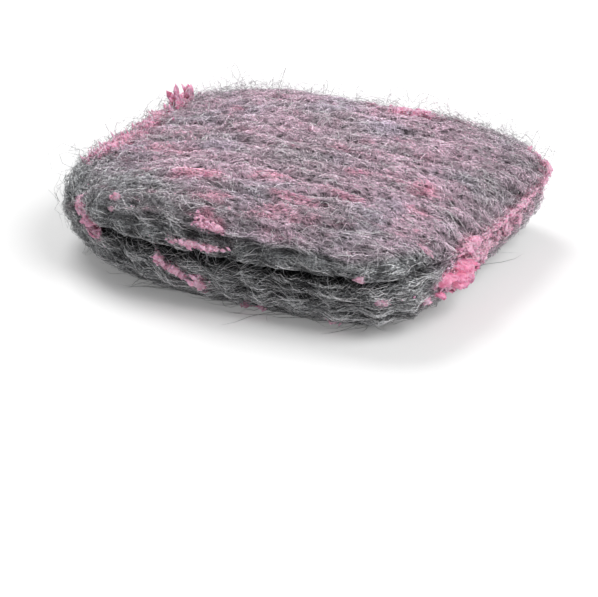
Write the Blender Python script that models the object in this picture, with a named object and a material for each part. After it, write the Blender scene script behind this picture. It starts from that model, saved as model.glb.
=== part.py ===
"""A soap-filled steel wool pad, lying flat, in metres with +Z up.

One steel wool ribbon is folded over itself into a soft rounded rectangle. The long side of the
pad is along X, its front side faces -Y and its plain flat underside is at Z = 0. A fold line
runs all round the sides, deepest along the front, and the upper layer ends in a lip over the
right-hand end. Dried soap sits on the wool as separate crusts and small flecks.

A place on the pad is given by a bearing, in degrees round the pad from +X towards +Y, and a
climb, in degrees up from the fold line: 0 is the fold line and 90 is the middle of the top.
"""

import bmesh
import bpy
import numpy as np

# Overall form of the pad
PAD_LENGTH = 0.0760
PAD_WIDTH = 0.0637
FOLD_HEIGHT = 0.0102
CROWN_RISE = 0.0089
RIGHT_SAG = 0.0005
LEFT_SAG = 0.0013
UNDERSIDE_BULGE = 1.2

# How square the outline and the shoulders are: 2 is an ellipse, more is squarer
PLAN_SQUARENESS = 7.0
SHOULDER_SQUARENESS = 4.5
RIGHT_SQUARENESS = 2.6
LEFT_SQUARENESS = 2.0
UNDERSIDE_SQUARENESS = 3.0
FRONT_LEFT_CUT = 0.28
FRONT_RIGHT_CUT = 0.03

# Lip of the upper layer over the right-hand end
LIP_REACH = 0.0007
LIP_CLIMB = 6.0
LIP_SPREAD = 6.0

# Fold line round the sides: how deep the slit goes in and how far it opens
FRONT_FOLD_DEPTH = 0.0032
BACK_FOLD_DEPTH = 0.0022
RIGHT_FOLD_DEPTH = 0.0016
LEFT_FOLD_DEPTH = 0.0010
FOLD_OPENING = 2.6
FOLD_RISE = 12.0
FOLD_RISE_BEARING = 323.0
FOLD_RISE_SPREAD = 11.0

# Shallow lines between the layers of wool above and below the fold, on the front and back
LAYER_DEPTH = 0.0007
LAYER_SPREAD = 4.5
UPPER_LAYER_CLIMB = 24.0
LOWER_LAYER_CLIMB = -19.0

# Gathers along the top of the pad, broken into tufts
GATHER_DEPTH = 0.0010
GATHER_PITCH = 0.0046
GATHER_SWAY = 1.3
GATHER_SWAY_LENGTH = 0.043
TUFT_LENGTH = 0.0135
TUFT_STAGGER = 2.4
TUFT_STAGGER_LENGTH = 0.0105

# Tufts round the sides: how many, how deep between them, and how they lean with the climb
SIDE_TUFTS = 42
SIDE_TUFT_DEPTH = 0.0007
SIDE_TUFT_LEAN = 0.09

# Fineness of the wool's mesh
TOP_CELLS = 22
LOWER_ROWS = 8
FOLD_ROWS = 6
UPPER_ROWS = 5
FOLD_BAND = 7.0
TOP_START_CLIMB = 34.0

# How far round the ends the softer shoulders of the two ends reach, as a cosine of the bearing
END_START = 0.35
END_SPAN = 0.50

# The gathers fade in over these climbs
GATHER_START_CLIMB = 25.0
GATHER_SPAN_CLIMB = 20.0

# Soap crusts: the gap to the wool, how thick their rims are, how ragged and how lumpy
SOAP_GAP = 0.00035
SOAP_RIM_SHARE = 0.4
RAGGED_BY_THREE = 0.16
RAGGED_BY_FIVE = 0.10
CRUST_LUMPS = 0.22
CHUNK_LUMPS = 0.30
CRUST_SIDES = 16
CRUST_RINGS = 4
CHUNK_SIDES = 22
CHUNK_RINGS = 6
FLECK_SIDES = 8
FLECK_RINGS = 1

# Name, bearing, climb, half width in bearing, half height in climb, slant, thickness
# The slant is the climb gained for each degree of bearing
CRUSTS = (
    ("soap_crust_lip_front", 341.0, 9.5, 5.5, 4.5, 0.0, 0.0011),
    ("soap_crust_lip_strip", 11.0, 6.5, 16.0, 3.0, 0.0, 0.0007),
    ("soap_crust_back_right_rim", 41.0, 14.0, 3.8, 4.2, 2.5, 0.0009),
    ("soap_crust_back_left_peak", 141.4, 29.0, 3.6, 3.6, 0.0, 0.0028),
    ("soap_crust_left_back_edge", 158.0, 32.0, 9.0, 2.8, 0.35, 0.0010),
    ("soap_crust_left_front_edge", 185.0, 33.0, 11.0, 2.8, -0.35, 0.0010),
    ("soap_crust_front_left", 232.0, 5.0, 6.4, 6.0, -1.7, 0.0009),
    ("soap_crust_front_shoulder", 272.2, 33.0, 3.8, 3.4, -0.6, 0.0008),
    ("soap_crust_front_strip", 269.8, 12.5, 6.4, 2.4, 0.0, 0.0008),
    ("soap_crust_front_lower", 262.0, -15.0, 3.9, 3.6, -1.6, 0.0009),
    ("soap_crust_front_base", 269.6, -23.0, 1.8, 4.0, -1.4, 0.0007),
    ("soap_crust_back_shoulder", 70.5, 48.0, 6.4, 2.2, 0.0, 0.0008),
)

# The one big lump, at the front right corner, where the wool was squeezed
CHUNK = ("soap_chunk_corner", 336.2, -13.0, 9.0, 9.0, -0.3, 0.0022)

FLECKS = (
    ("soap_fleck_upper_left", 242.4, 37.0, 1.2, 2.4, 0.0, 0.0006),
    ("soap_fleck_groove", 307.2, 7.5, 0.8, 2.4, 0.0, 0.0006),
    ("soap_fleck_right_side", 311.3, -12.0, 1.2, 2.2, 0.0, 0.0006),
    ("soap_fleck_base_left", 281.0, -40.0, 1.1, 1.4, 0.0, 0.0006),
    ("soap_fleck_base_middle", 286.0, -39.5, 1.2, 1.4, 0.0, 0.0006),
    ("soap_fleck_base_right", 304.0, -37.0, 1.2, 1.4, 0.0, 0.0006),
    ("soap_fleck_corner", 322.4, -17.0, 0.9, 3.0, 0.0, 0.0006),
)

WOOL_COLOUR = (0.26, 0.24, 0.25, 1.0)
SOAP_COLOUR = (0.80, 0.22, 0.34, 1.0)


def smooth_step(value):
    """Ease from 0 to 1 with a level start and end."""
    value = np.clip(value, 0.0, 1.0)
    return value * value * (3.0 - 2.0 * value)


def bump(value, centre, spread):
    """A bell of height 1 over an angle in degrees, the shortest way round."""
    away = (value - centre + 180.0) % 360.0 - 180.0
    return np.exp(-(away / spread) ** 2)


def outline(bearing):
    """The plan at a bearing, from -1 to 1 each way: a rounded rectangle with two cut corners."""
    turn = np.radians(bearing)
    across, along = np.cos(turn), np.sin(turn)
    power = PLAN_SQUARENESS
    reach = (np.abs(across) ** power + np.abs(along) ** power) ** (-1.0 / power)
    x, y = across * reach, along * reach
    for side, cut in ((-1.0, FRONT_LEFT_CUT), (1.0, FRONT_RIGHT_CUT)):
        corner = np.clip(x * side, 0.0, 1.0) ** 2 * np.clip(-y, 0.0, 1.0) ** 2
        x, y = x * (1.0 - cut * corner), y * (1.0 - cut * corner)
    return x, y


def outward(bearing):
    """The level direction straight out of the side at a bearing."""
    x, y = outline(bearing)
    power = PLAN_SQUARENESS - 1.0
    out_x = np.sign(x) * np.abs(x) ** power / PAD_LENGTH
    out_y = np.sign(y) * np.abs(y) ** power / PAD_WIDTH
    length = np.hypot(out_x, out_y)
    return out_x / length, out_y / length


def end_shares(bearing):
    """How much a bearing belongs to the right-hand end and to the left-hand end, 0 to 1."""
    turn = np.radians(bearing)
    right = smooth_step((np.cos(turn) - END_START) / END_SPAN)
    left = smooth_step((-np.cos(turn) - END_START) / END_SPAN)
    return right, left


def shoulder_power(bearing):
    """The squareness of the section above the fold line: softer at the two ends."""
    right, left = end_shares(bearing)
    upper = SHOULDER_SQUARENESS + (RIGHT_SQUARENESS - SHOULDER_SQUARENESS) * right
    return upper + (LEFT_SQUARENESS - SHOULDER_SQUARENESS) * left


def pad_point(bearing, climb):
    """The pad's full form, with no folds: a superellipse in plan and in section."""
    right = end_shares(bearing)[0]
    power = np.where(climb >= 0.0, shoulder_power(bearing), UNDERSIDE_SQUARENESS)
    level, rise = np.cos(np.radians(climb)), np.sin(np.radians(climb))
    reach = (np.abs(level) ** power + np.abs(rise) ** power) ** (-1.0 / power)
    level, rise = level * reach, rise * reach
    plan_x, plan_y = outline(bearing)
    out_x, out_y = outward(bearing)
    lip = LIP_REACH * right * bump(climb, LIP_CLIMB, LIP_SPREAD)
    x = plan_x * level * PAD_LENGTH / 2.0 + out_x * lip
    y = plan_y * level * PAD_WIDTH / 2.0 + out_y * lip
    sideways = x / (PAD_LENGTH / 2.0)
    crown = CROWN_RISE - RIGHT_SAG * smooth_step(sideways) - LEFT_SAG * smooth_step(-sideways)
    below = UNDERSIDE_BULGE * FOLD_HEIGHT
    z = FOLD_HEIGHT + np.where(rise >= 0.0, rise * crown, rise * below)
    return np.stack([x, y, z], axis=-1)


def pad_normal(bearing, climb):
    """The direction straight out of the pad's full form."""
    climb = np.minimum(climb, 88.0)
    step = 0.2
    round_it = pad_point(bearing + step, climb) - pad_point(bearing - step, climb)
    up_it = pad_point(bearing, climb + step) - pad_point(bearing, climb - step)
    normal = np.cross(round_it, up_it)
    return normal / np.linalg.norm(normal, axis=-1, keepdims=True)


def fold_climb(bearing):
    """Where the fold line runs: level, but for a rise to the lip at the front right corner."""
    return FOLD_RISE * bump(bearing, FOLD_RISE_BEARING, FOLD_RISE_SPREAD)


def fold_depth(bearing, climb):
    """How far the slit of the fold goes in: full on the fold line, nothing beside it."""
    turn = np.radians(bearing)
    front = np.clip(-np.sin(turn), 0.0, 1.0) ** 2
    back = np.clip(np.sin(turn), 0.0, 1.0) ** 2
    right = np.clip(np.cos(turn), 0.0, 1.0) ** 2
    left = np.clip(-np.cos(turn), 0.0, 1.0) ** 2
    depth = FRONT_FOLD_DEPTH * front + BACK_FOLD_DEPTH * back
    depth = depth + RIGHT_FOLD_DEPTH * right + LEFT_FOLD_DEPTH * left
    away = np.abs(climb - fold_climb(bearing)) / FOLD_OPENING
    return depth * np.exp(-away ** 1.5)


def top_gathers(point):
    """Gathers along X, 0 to 1: a cosine across Y that sways, broken along X by a staggered sine."""
    sway = GATHER_SWAY * np.sin(2.0 * np.pi * point[..., 0] / GATHER_SWAY_LENGTH)
    ripple = 0.5 - 0.5 * np.cos(2.0 * np.pi * point[..., 1] / GATHER_PITCH + sway)
    stagger = TUFT_STAGGER * np.sin(2.0 * np.pi * point[..., 1] / TUFT_STAGGER_LENGTH)
    return ripple * (0.6 + 0.4 * np.sin(2.0 * np.pi * point[..., 0] / TUFT_LENGTH + stagger))


def side_tufts(bearing, climb):
    """Hollows between the tufts round the sides, 0 to 1: a cosine round the pad that leans."""
    turn = SIDE_TUFTS * np.radians(bearing) + SIDE_TUFT_LEAN * climb
    return (0.5 - 0.5 * np.cos(turn)) * smooth_step((climb - base_climb()) / 12.0)


def under_soap(bearing, climb):
    """Where soap mats the wool flat: 1 under each lump, falling to 0 beyond its rim."""
    cover = np.zeros(np.broadcast(bearing, climb).shape)
    for _, middle, high, half_width, half_height, slant, _ in (CHUNK,) + CRUSTS + FLECKS:
        across = (bearing - middle + 180.0) % 360.0 - 180.0
        up = (climb - high - slant * across) / half_height
        away = np.hypot(across / half_width, up)
        cover = np.maximum(cover, np.exp(-(away / 1.3) ** 4))
    return cover


def gather_depth(bearing, climb):
    """How far the wool sinks between its layers, its tufts and the gathers on top."""
    on_top = smooth_step((climb - GATHER_START_CLIMB) / GATHER_SPAN_CLIMB)
    sides = np.sin(np.radians(bearing)) ** 2
    layers = bump(climb, UPPER_LAYER_CLIMB, LAYER_SPREAD)
    layers = layers + bump(climb, LOWER_LAYER_CLIMB, LAYER_SPREAD)
    depth = GATHER_DEPTH * top_gathers(pad_point(bearing, climb)) * on_top
    depth = depth + SIDE_TUFT_DEPTH * side_tufts(bearing, climb) * (1.0 - on_top)
    return depth * (1.0 - under_soap(bearing, climb)) + LAYER_DEPTH * layers * sides


def wool_point(bearing, climb):
    """The wool's surface: the full form, drawn in at the fold, the layers and the gathers."""
    point = pad_point(bearing, climb)
    point = point - pad_normal(bearing, climb) * gather_depth(bearing, climb)[..., None]
    out_x, out_y = outward(bearing)
    depth = fold_depth(bearing, climb)
    point[..., 0] -= out_x * depth
    point[..., 1] -= out_y * depth
    return point


def base_climb():
    """The climb, below the fold line, at which the side meets the flat underside."""
    rise = 1.0 / UNDERSIDE_BULGE
    level = (1.0 - rise ** UNDERSIDE_SQUARENESS) ** (1.0 / UNDERSIDE_SQUARENESS)
    return -np.degrees(np.arctan2(rise, level))


def row_climbs(bearing):
    """Climbs of the side's rows at each bearing: even below, close at the fold, even above."""
    fold = fold_climb(bearing)
    lower = np.linspace(0.0, 1.0, LOWER_ROWS, endpoint=False)[:, None]
    middle = np.linspace(-1.0, 1.0, FOLD_ROWS + 1)[:, None]
    upper = np.linspace(0.0, 1.0, UPPER_ROWS + 1)[1:, None]
    foot = base_climb()
    below = foot + (fold - FOLD_BAND - foot) * lower
    across = fold + FOLD_BAND * middle * np.abs(middle) ** 0.5
    above = fold + FOLD_BAND + (TOP_START_CLIMB - fold - FOLD_BAND) * upper
    return np.concatenate([below, across, above])


def top_grid():
    """Bearings and climbs of a square grid over the top, whose rim is the side's last row.

    A grid point's bearing is its own on the square. Its climb is where the form's level reach
    is as large a share of the rim's as the point's greater coordinate.
    """
    steps = np.linspace(-1.0, 1.0, 2 * TOP_CELLS + 1)
    across, along = np.meshgrid(steps, steps, indexing="ij")
    bearing = np.degrees(np.arctan2(along, across)) % 360.0
    power = shoulder_power(bearing)
    rim = np.cos(np.radians(TOP_START_CLIMB)), np.sin(np.radians(TOP_START_CLIMB))
    most = rim[0] * (rim[0] ** power + rim[1] ** power) ** (-1.0 / power)
    level = most * np.maximum(np.abs(across), np.abs(along))
    rise = (1.0 - level ** power) ** (1.0 / power)
    return bearing, np.degrees(np.arctan2(rise, level))


def grid_rim():
    """Places in the top's grid of its rim, in order round the pad."""
    last = 2 * TOP_CELLS
    steps = np.arange(last)
    right = [(last, step) for step in steps]
    back = [(last - step, last) for step in steps]
    left = [(0, last - step) for step in steps]
    front = [(step, 0) for step in steps]
    return right + back + left + front


def principled(name, colour, roughness, metallic):
    """A plain material with one colour and finish."""
    material = bpy.data.materials.new(name)
    material.use_nodes = True
    shader = material.node_tree.nodes["Principled BSDF"]
    shader.inputs["Base Color"].default_value = colour
    shader.inputs["Roughness"].default_value = roughness
    shader.inputs["Metallic"].default_value = metallic
    return material


def object_from_bmesh(name, shape, material, holder):
    """Close up a mesh, turn its faces outwards and put it in the scene as one object."""
    bmesh.ops.recalc_face_normals(shape, faces=shape.faces[:])
    mesh = bpy.data.meshes.new(name)
    shape.to_mesh(mesh)
    shape.free()
    mesh.shade_smooth()
    mesh.materials.append(material)
    piece = bpy.data.objects.new(name, mesh)
    bpy.context.collection.objects.link(piece)
    piece.parent = holder
    return piece


def join_rings(shape, rings):
    """Fill between closed rings of points, each with the next."""
    for lower, upper in zip(rings, rings[1:]):
        count = len(lower)
        for here in range(count):
            there = (here + 1) % count
            shape.faces.new((lower[here], lower[there], upper[there], upper[here]))


def fan(shape, ring, tip):
    """Fill a ring of points to one point."""
    for here in range(len(ring)):
        shape.faces.new((ring[here], ring[(here + 1) % len(ring)], tip))


def fill_grid(shape, grid):
    """Fill a square grid of points with triangles whose long sides point at the middle."""
    half = (len(grid) - 1) / 2.0
    for across in range(len(grid) - 1):
        for along in range(len(grid) - 1):
            near, far = grid[across], grid[across + 1]
            corners = [near[along], far[along], far[along + 1], near[along + 1]]
            if (across + 0.5 - half) * (along + 0.5 - half) < 0.0:
                corners = corners[1:] + corners[:1]
            shape.faces.new((corners[0], corners[1], corners[2]))
            shape.faces.new((corners[0], corners[2], corners[3]))


def make_wool_pad(material, holder):
    """The folded ribbon as one closed body, with a flat underside."""
    top_bearing, top_climb = top_grid()
    rim = grid_rim()
    bearing = np.array([top_bearing[place] for place in rim])
    climbs = row_climbs(bearing)
    points = wool_point(np.broadcast_to(bearing, climbs.shape), climbs)
    points[0] = pad_point(bearing, climbs[0])
    points[0, :, 2] = 0.0
    shape = bmesh.new()
    top = [[shape.verts.new(point) for point in row] for row in wool_point(top_bearing, top_climb)]
    rings = [[shape.verts.new(point) for point in row] for row in points[:-1]]
    rings.append([top[across][along] for across, along in rim])
    join_rings(shape, rings)
    fill_grid(shape, top)
    shape.faces.new(rings[0])
    return object_from_bmesh("wool_pad", shape, material, holder)


def crust_rings(spec, sides, count, lumps):
    """Two sets of rings over a patch of the pad: one just off the wool, one lumpy outside."""
    name, bearing, climb, half_width, half_height, slant, thickness = spec
    angle = np.arange(sides) * 2.0 * np.pi / sides
    seed = sum(ord(letter) for letter in name)
    ragged = 1.0 + RAGGED_BY_THREE * np.sin(3.0 * angle + seed)
    ragged = ragged + RAGGED_BY_FIVE * np.sin(5.0 * angle + 2.0 * seed)
    share = np.arange(1, count + 1)[:, None] / count
    across = half_width * share * np.cos(angle) * ragged
    up = half_height * share * np.sin(angle) * ragged
    bearings = bearing + across
    climbs = climb + up + slant * across
    normals = pad_normal(bearings, climbs)
    inner = pad_point(bearings, climbs) + normals * SOAP_GAP
    swell = np.sqrt(np.clip(1.0 - share ** 2, 0.0, 1.0))
    lumpy = 1.0 + lumps * share * np.sin(2.0 * angle + 7.0 * share + seed)
    height = thickness * (SOAP_RIM_SHARE + (1.0 - SOAP_RIM_SHARE) * swell) * lumpy
    return inner, inner + normals * height[..., None]


def make_crust(spec, sides, count, lumps, material, holder):
    """One dried lump of soap that lies on the wool, as one closed body."""
    name, bearing, climb = spec[:3]
    thickness = spec[-1]
    inner, outer = crust_rings(spec, sides, count, lumps)
    middle = np.array(bearing), np.array(climb)
    normal = pad_normal(*middle)
    root = pad_point(*middle) + normal * SOAP_GAP
    shape = bmesh.new()
    under = [[shape.verts.new(point) for point in ring] for ring in inner]
    over = [[shape.verts.new(point) for point in ring] for ring in outer]
    fan(shape, under[0], shape.verts.new(root))
    join_rings(shape, under)
    join_rings(shape, [under[-1], over[-1]])
    join_rings(shape, over)
    fan(shape, over[0], shape.verts.new(root + normal * thickness))
    return object_from_bmesh(name, shape, material, holder)


def clear_scene():
    """Start from an empty scene."""
    for piece in list(bpy.data.objects):
        bpy.data.objects.remove(piece, do_unlink=True)


def centre_over_origin(holder, pieces):
    """Slide the pad so that the middle of its whole box stands over the origin."""
    corners = np.array([vertex.co for piece in pieces for vertex in piece.data.vertices])
    middle = (corners.min(axis=0) + corners.max(axis=0)) / 2.0
    holder.location = (-middle[0], -middle[1], 0.0)


def main():
    """Make the wool, then the soap that lies on it."""
    clear_scene()
    holder = bpy.data.objects.new("pad_place", None)
    bpy.context.collection.objects.link(holder)
    wool = principled("steel_wool", WOOL_COLOUR, 0.45, 0.6)
    soap = principled("dried_soap", SOAP_COLOUR, 0.55, 0.0)
    pieces = [make_wool_pad(wool, holder)]
    pieces.append(make_crust(CHUNK, CHUNK_SIDES, CHUNK_RINGS, CHUNK_LUMPS, soap, holder))
    for spec in CRUSTS:
        pieces.append(make_crust(spec, CRUST_SIDES, CRUST_RINGS, CRUST_LUMPS, soap, holder))
    for spec in FLECKS:
        pieces.append(make_crust(spec, FLECK_SIDES, FLECK_RINGS, 0.0, soap, holder))
    centre_over_origin(holder, pieces)


main()
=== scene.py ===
"""Looks of a soap-filled steel wool pad, laid out as an add-on and run as a script.

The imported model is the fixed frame. Round it this script makes the wool's body, several mats of
steel fibres that run over it, stray hairs, the dried soap crusts and crumbs, and a plain stage.

A place on the pad is given by a bearing, in degrees round the pad from +X towards +Y, and a
climb, in degrees up from the fold line: 0 is the fold line and 90 is the middle of the top.
"""

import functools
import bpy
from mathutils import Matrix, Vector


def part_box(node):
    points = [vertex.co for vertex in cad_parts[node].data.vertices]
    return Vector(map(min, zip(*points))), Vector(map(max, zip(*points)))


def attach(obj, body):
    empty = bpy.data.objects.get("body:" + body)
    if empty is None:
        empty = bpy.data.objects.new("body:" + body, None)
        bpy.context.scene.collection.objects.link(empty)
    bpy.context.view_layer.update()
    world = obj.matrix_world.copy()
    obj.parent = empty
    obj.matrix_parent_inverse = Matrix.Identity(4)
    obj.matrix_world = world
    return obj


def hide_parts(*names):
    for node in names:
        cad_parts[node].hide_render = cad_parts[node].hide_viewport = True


bl_info = {
    "name": "Steel wool pad",
    "version": (1, 0, 0),
    "blender": (4, 5, 0),
    "location": "3D View > Sidebar > Steel wool pad",
    "description": "Makes a folded steel wool pad with dried soap on it",
    "category": "Add Mesh",
}

import bpy
import numpy as np
from mathutils import Vector

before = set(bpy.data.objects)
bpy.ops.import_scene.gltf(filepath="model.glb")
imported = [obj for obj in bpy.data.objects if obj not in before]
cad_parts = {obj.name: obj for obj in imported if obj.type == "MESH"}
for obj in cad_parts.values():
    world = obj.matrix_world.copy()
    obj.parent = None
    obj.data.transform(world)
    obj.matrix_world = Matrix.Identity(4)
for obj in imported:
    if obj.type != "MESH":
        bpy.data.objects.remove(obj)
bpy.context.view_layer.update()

WOOL_LOW, WOOL_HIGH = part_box("wool_pad")

# Form of the pad, as in the part's own source, in metres and degrees
PAD_LENGTH = 0.0760
PAD_WIDTH = WOOL_HIGH.y - WOOL_LOW.y
FOLD_HEIGHT = 0.0102
CROWN_RISE = 0.0089
RIGHT_SAG = 0.0005
LEFT_SAG = 0.0013
UNDERSIDE_BULGE = 1.2
PLAN_SQUARENESS = 7.0
SHOULDER_SQUARENESS = 4.5
RIGHT_SQUARENESS = 2.6
LEFT_SQUARENESS = 2.0
UNDERSIDE_SQUARENESS = 3.0
FRONT_LEFT_CUT = 0.28
FRONT_RIGHT_CUT = 0.03
END_START = 0.35
END_SPAN = 0.50
LIP_REACH = 0.0007
LIP_CLIMB = 6.0
LIP_SPREAD = 6.0
FRONT_FOLD_DEPTH = 0.0032
BACK_FOLD_DEPTH = 0.0022
RIGHT_FOLD_DEPTH = 0.0016
LEFT_FOLD_DEPTH = 0.0010
FOLD_OPENING = 2.5
FOLD_RISE = 12.0
FOLD_RISE_BEARING = 323.0
FOLD_RISE_SPREAD = 11.0
FOLD_WOBBLE = 1.6
LAYER_DEPTH = 0.0007
LAYER_SPREAD = 4.5
UPPER_LAYER_CLIMB = 24.0
LOWER_LAYER_CLIMB = -19.0
GATHER_DEPTH = 0.0010
GATHER_PITCH = 0.0046
GATHER_SWAY = 1.3
GATHER_SWAY_LENGTH = 0.043
TUFT_LENGTH = 0.0135
TUFT_STAGGER = 2.4
TUFT_STAGGER_LENGTH = 0.0105
SIDE_TUFTS = 42
SIDE_TUFT_DEPTH = 0.0007
SIDE_TUFT_LEAN = 0.09
GATHER_START_CLIMB = 25.0
GATHER_SPAN_CLIMB = 20.0
PAD_MIDDLE = np.array([WOOL_LOW.x + PAD_LENGTH / 2.0, (WOOL_LOW.y + WOOL_HIGH.y) / 2.0, 0.0])

# Finer tufts and furrows of the wool than the part's solids hold
TUFT_SIZE = 0.0032
TUFT_DEPTH = 0.00035
FURROW_LENGTH = 0.0080
FURROW_WIDTH = 0.0010
FURROW_DEPTH = 0.00050
FURROW_BEND = 0.009
# Sizes of the short gaps between tufts, which are drawn only as painted shade
GAP_LENGTH = 0.0018
GAP_WIDTH = 0.00042
GAP_BEND = 0.006
LOWEST_WOOL = 0.00010

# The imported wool's mesh: how far in it lies, its columns, and its rows under, at and over the
# fold line, which are closer together between two climbs
BODY_INSET = 0.00045
BODY_COLUMNS = 250
ROWS_UNDER_FOLD = 26
ROWS_AT_FOLD = 44
ROWS_OVER_FOLD = 66
CLOSE_ROWS_FROM = -9.0
CLOSE_ROWS_TO = 16.0
TOP_ROW = 89.5
UNDERSIDE_RINGS = 10

# Soap lumps, as in the part's source: node, bearing, climb, half width, half height, slant
# and thickness
CHUNK = ("soap_chunk_corner", 336.2, -13.0, 9.0, 9.0, -0.3, 0.0022)
CRUSTS = (
    ("soap_crust_lip_front", 341.0, 9.5, 5.5, 4.5, 0.0, 0.0011),
    ("soap_crust_lip_strip", 11.0, 6.5, 16.0, 3.0, 0.0, 0.0007),
    ("soap_crust_back_right_rim", 41.0, 14.0, 3.8, 4.2, 2.5, 0.0009),
    ("soap_crust_back_left_peak", 141.4, 29.0, 3.6, 3.6, 0.0, 0.0028),
    ("soap_crust_left_back_edge", 158.0, 32.0, 9.0, 2.8, 0.35, 0.0010),
    ("soap_crust_left_front_edge", 185.0, 33.0, 11.0, 2.8, -0.35, 0.0010),
    ("soap_crust_front_left", 232.0, 5.0, 6.4, 6.0, -1.7, 0.0009),
    ("soap_crust_front_shoulder", 272.2, 33.0, 3.8, 3.4, -0.6, 0.0008),
    ("soap_crust_front_strip", 269.8, 12.5, 6.4, 2.4, 0.0, 0.0008),
    ("soap_crust_front_lower", 262.0, -15.0, 3.9, 3.6, -1.6, 0.0009),
    ("soap_crust_front_base", 269.6, -23.0, 1.8, 4.0, -1.4, 0.0007),
    ("soap_crust_back_shoulder", 70.5, 48.0, 6.4, 2.2, 0.0, 0.0008),
)
FLECKS = (
    ("soap_fleck_upper_left", 242.4, 37.0, 1.2, 2.4, 0.0, 0.0006),
    ("soap_fleck_groove", 307.2, 7.5, 0.8, 2.4, 0.0, 0.0006),
    ("soap_fleck_right_side", 311.3, -12.0, 1.2, 2.2, 0.0, 0.0006),
    ("soap_fleck_base_left", 281.0, -40.0, 1.1, 1.4, 0.0, 0.0006),
    ("soap_fleck_base_middle", 286.0, -39.5, 1.2, 1.4, 0.0, 0.0006),
    ("soap_fleck_base_right", 304.0, -37.0, 1.2, 1.4, 0.0, 0.0006),
    ("soap_fleck_corner", 322.4, -17.0, 0.9, 3.0, 0.0, 0.0006),
)
LUMPS = (CHUNK,) + CRUSTS + FLECKS

# The peak at the back left, and the crusts that run from it along the left-hand rim
PEAK = CRUSTS[3]
RIM_CRUSTS = CRUSTS[3:6]

# How a solid lump and a porous crust are made: scale of the noise at the rim and of the lumps,
# octaves of both, share of the height, and share of the grid's usual spacing
SOLID_LUMP = (0.8, 0.9, 3, 1.0, 0.75)
POROUS_CRUST = (1.7, 1.5, 4, 0.75, 1.0)
PATCH_MARGIN = 1.25

# Holes in the corner lump, in shares of its half sizes: how far across and up, and half sizes
HOLES = (
    (0.72, 0.36, 0.13, 0.36),
    (-0.15, -0.45, 0.17, 0.30),
    (0.36, -0.62, 0.10, 0.26),
    (-0.50, -0.70, 0.13, 0.32),
    (0.22, 0.42, 0.12, 0.22),
    (-0.72, 0.10, 0.12, 0.30),
)

# Zones that fibres start in: middle bearing, half span, lowest climb and highest climb
ZONES = {
    "top_left": (180.0, 90.0, 19.0, 90.0),
    "top_right": (0.0, 90.0, 19.0, 90.0),
    "front": (272.0, 52.0, -49.0, 27.0),
    "back": (90.0, 48.0, -49.0, 27.0),
    "right": (0.0, 44.0, -49.0, 24.0),
    "left": (179.0, 44.0, -49.0, 27.0),
    "under": (0.0, 180.0, -90.0, -47.0),
    "all_round": (0.0, 180.0, -25.0, 50.0),
    "left_end": (185.0, 60.0, -30.0, 45.0),
    "back_rim": (85.0, 60.0, 20.0, 48.0),
}

# Mats of fibres: name, zone, how many, steps in each, and length as a share of the usual one
FIBRE_MATS = (
    ("wool_felt_left", "top_left", 10200, 5, 0.28),
    ("wool_felt_right", "top_right", 10200, 5, 0.28),
    ("wool_top_strands", "top_left", 300, 8, 0.8),
    ("wool_top_strands_right", "top_right", 300, 8, 0.8),
    ("wool_front", "front", 7600, 6, 0.62),
    ("wool_back", "back", 2700, 6, 0.7),
    ("wool_right", "right", 2500, 6, 0.62),
    ("wool_left", "left", 2550, 6, 0.62),
    ("wool_under", "under", 400, 7, 1.4),
)

# How fibres turn off the grain, in degrees: those that cross it and their share, the rest, how
# much a fibre wanders, and how many times more the short ones do
CROSSING_SHARE = 0.15
CROSSING_TURN = 55.0
GRAIN_TURN = 13.0
WANDER_TURN = 28.0
SHORT_TURNS = 2.2

# Painted glints: share of the bare fibres that get one, how much of it is lost where the wool is pale,
# the shades over which a fibre starts to take the painted glint, and the near-white colour painted on it
GLINT_SHARE = 0.33
GLINT_LOST = 0.22
GLINT_SHADES = (0.86, 0.93)
PAINTED_GLINT = (0.97, 0.95, 0.97, 1.0)

# Stray hairs: how many and in which zone, steps in each, lengths, share of the wool's soap that
# they take on, turns in degrees, share with a free end, and the farthest that one stands off
HAIRS = ((470, "all_round"), (540, "left_end"), (620, "back_rim"))
HAIR_STEPS = 9
HAIR_LENGTHS = (0.003, 0.012)
HAIR_SOAP = 0.35
HAIR_TURN = 70.0
HAIR_WANDER = 110.0
FREE_HAIR_SHARE = 0.4
FARTHEST_HAIR = 0.0045

# Where the top turns grey at the front left: a point on the border, and the way across it
GREY_X = -0.0294
GREY_Y = -0.0106
GREY_ACROSS = 0.54
GREY_ALONG = 0.84

# Grid of places that fibres are drawn from: columns on each side of a zone's middle, and degrees
# of climb from row to row
SCATTER_COLUMNS = 120
SCATTER_CLIMB = 1.5

# Pink smears on the top: middle, half length and half width in millimetres, and strength
SMEARS = (
    (-20.0, -4.0, 15.0, 13.0, 0.50),
    (-14.0, 14.0, 12.0, 9.0, 0.40),
    (26.2, -3.3, 3.2, 2.6, 1.1),
    (21.2, -3.4, 4.0, 1.6, 0.8),
    (15.0, -4.8, 4.0, 1.6, 0.7),
    (18.0, -14.5, 5.0, 1.8, 0.9),
    (10.9, -20.0, 7.0, 2.4, 0.95),
    (4.1, -13.9, 5.0, 2.0, 0.95),
    (11.9, -25.1, 8.0, 2.6, 0.7),
    (-1.5, -24.7, 5.0, 2.2, 0.85),
    (-8.2, -17.5, 7.0, 3.2, 0.85),
    (28.5, -12.0, 3.0, 4.0, 0.7),
    (34.2, -20.5, 1.6, 1.6, 1.1),
    (10.0, 27.0, 18.0, 3.0, 0.6),
    (0.0, -28.5, 7.0, 1.6, 0.6),
)

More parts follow.
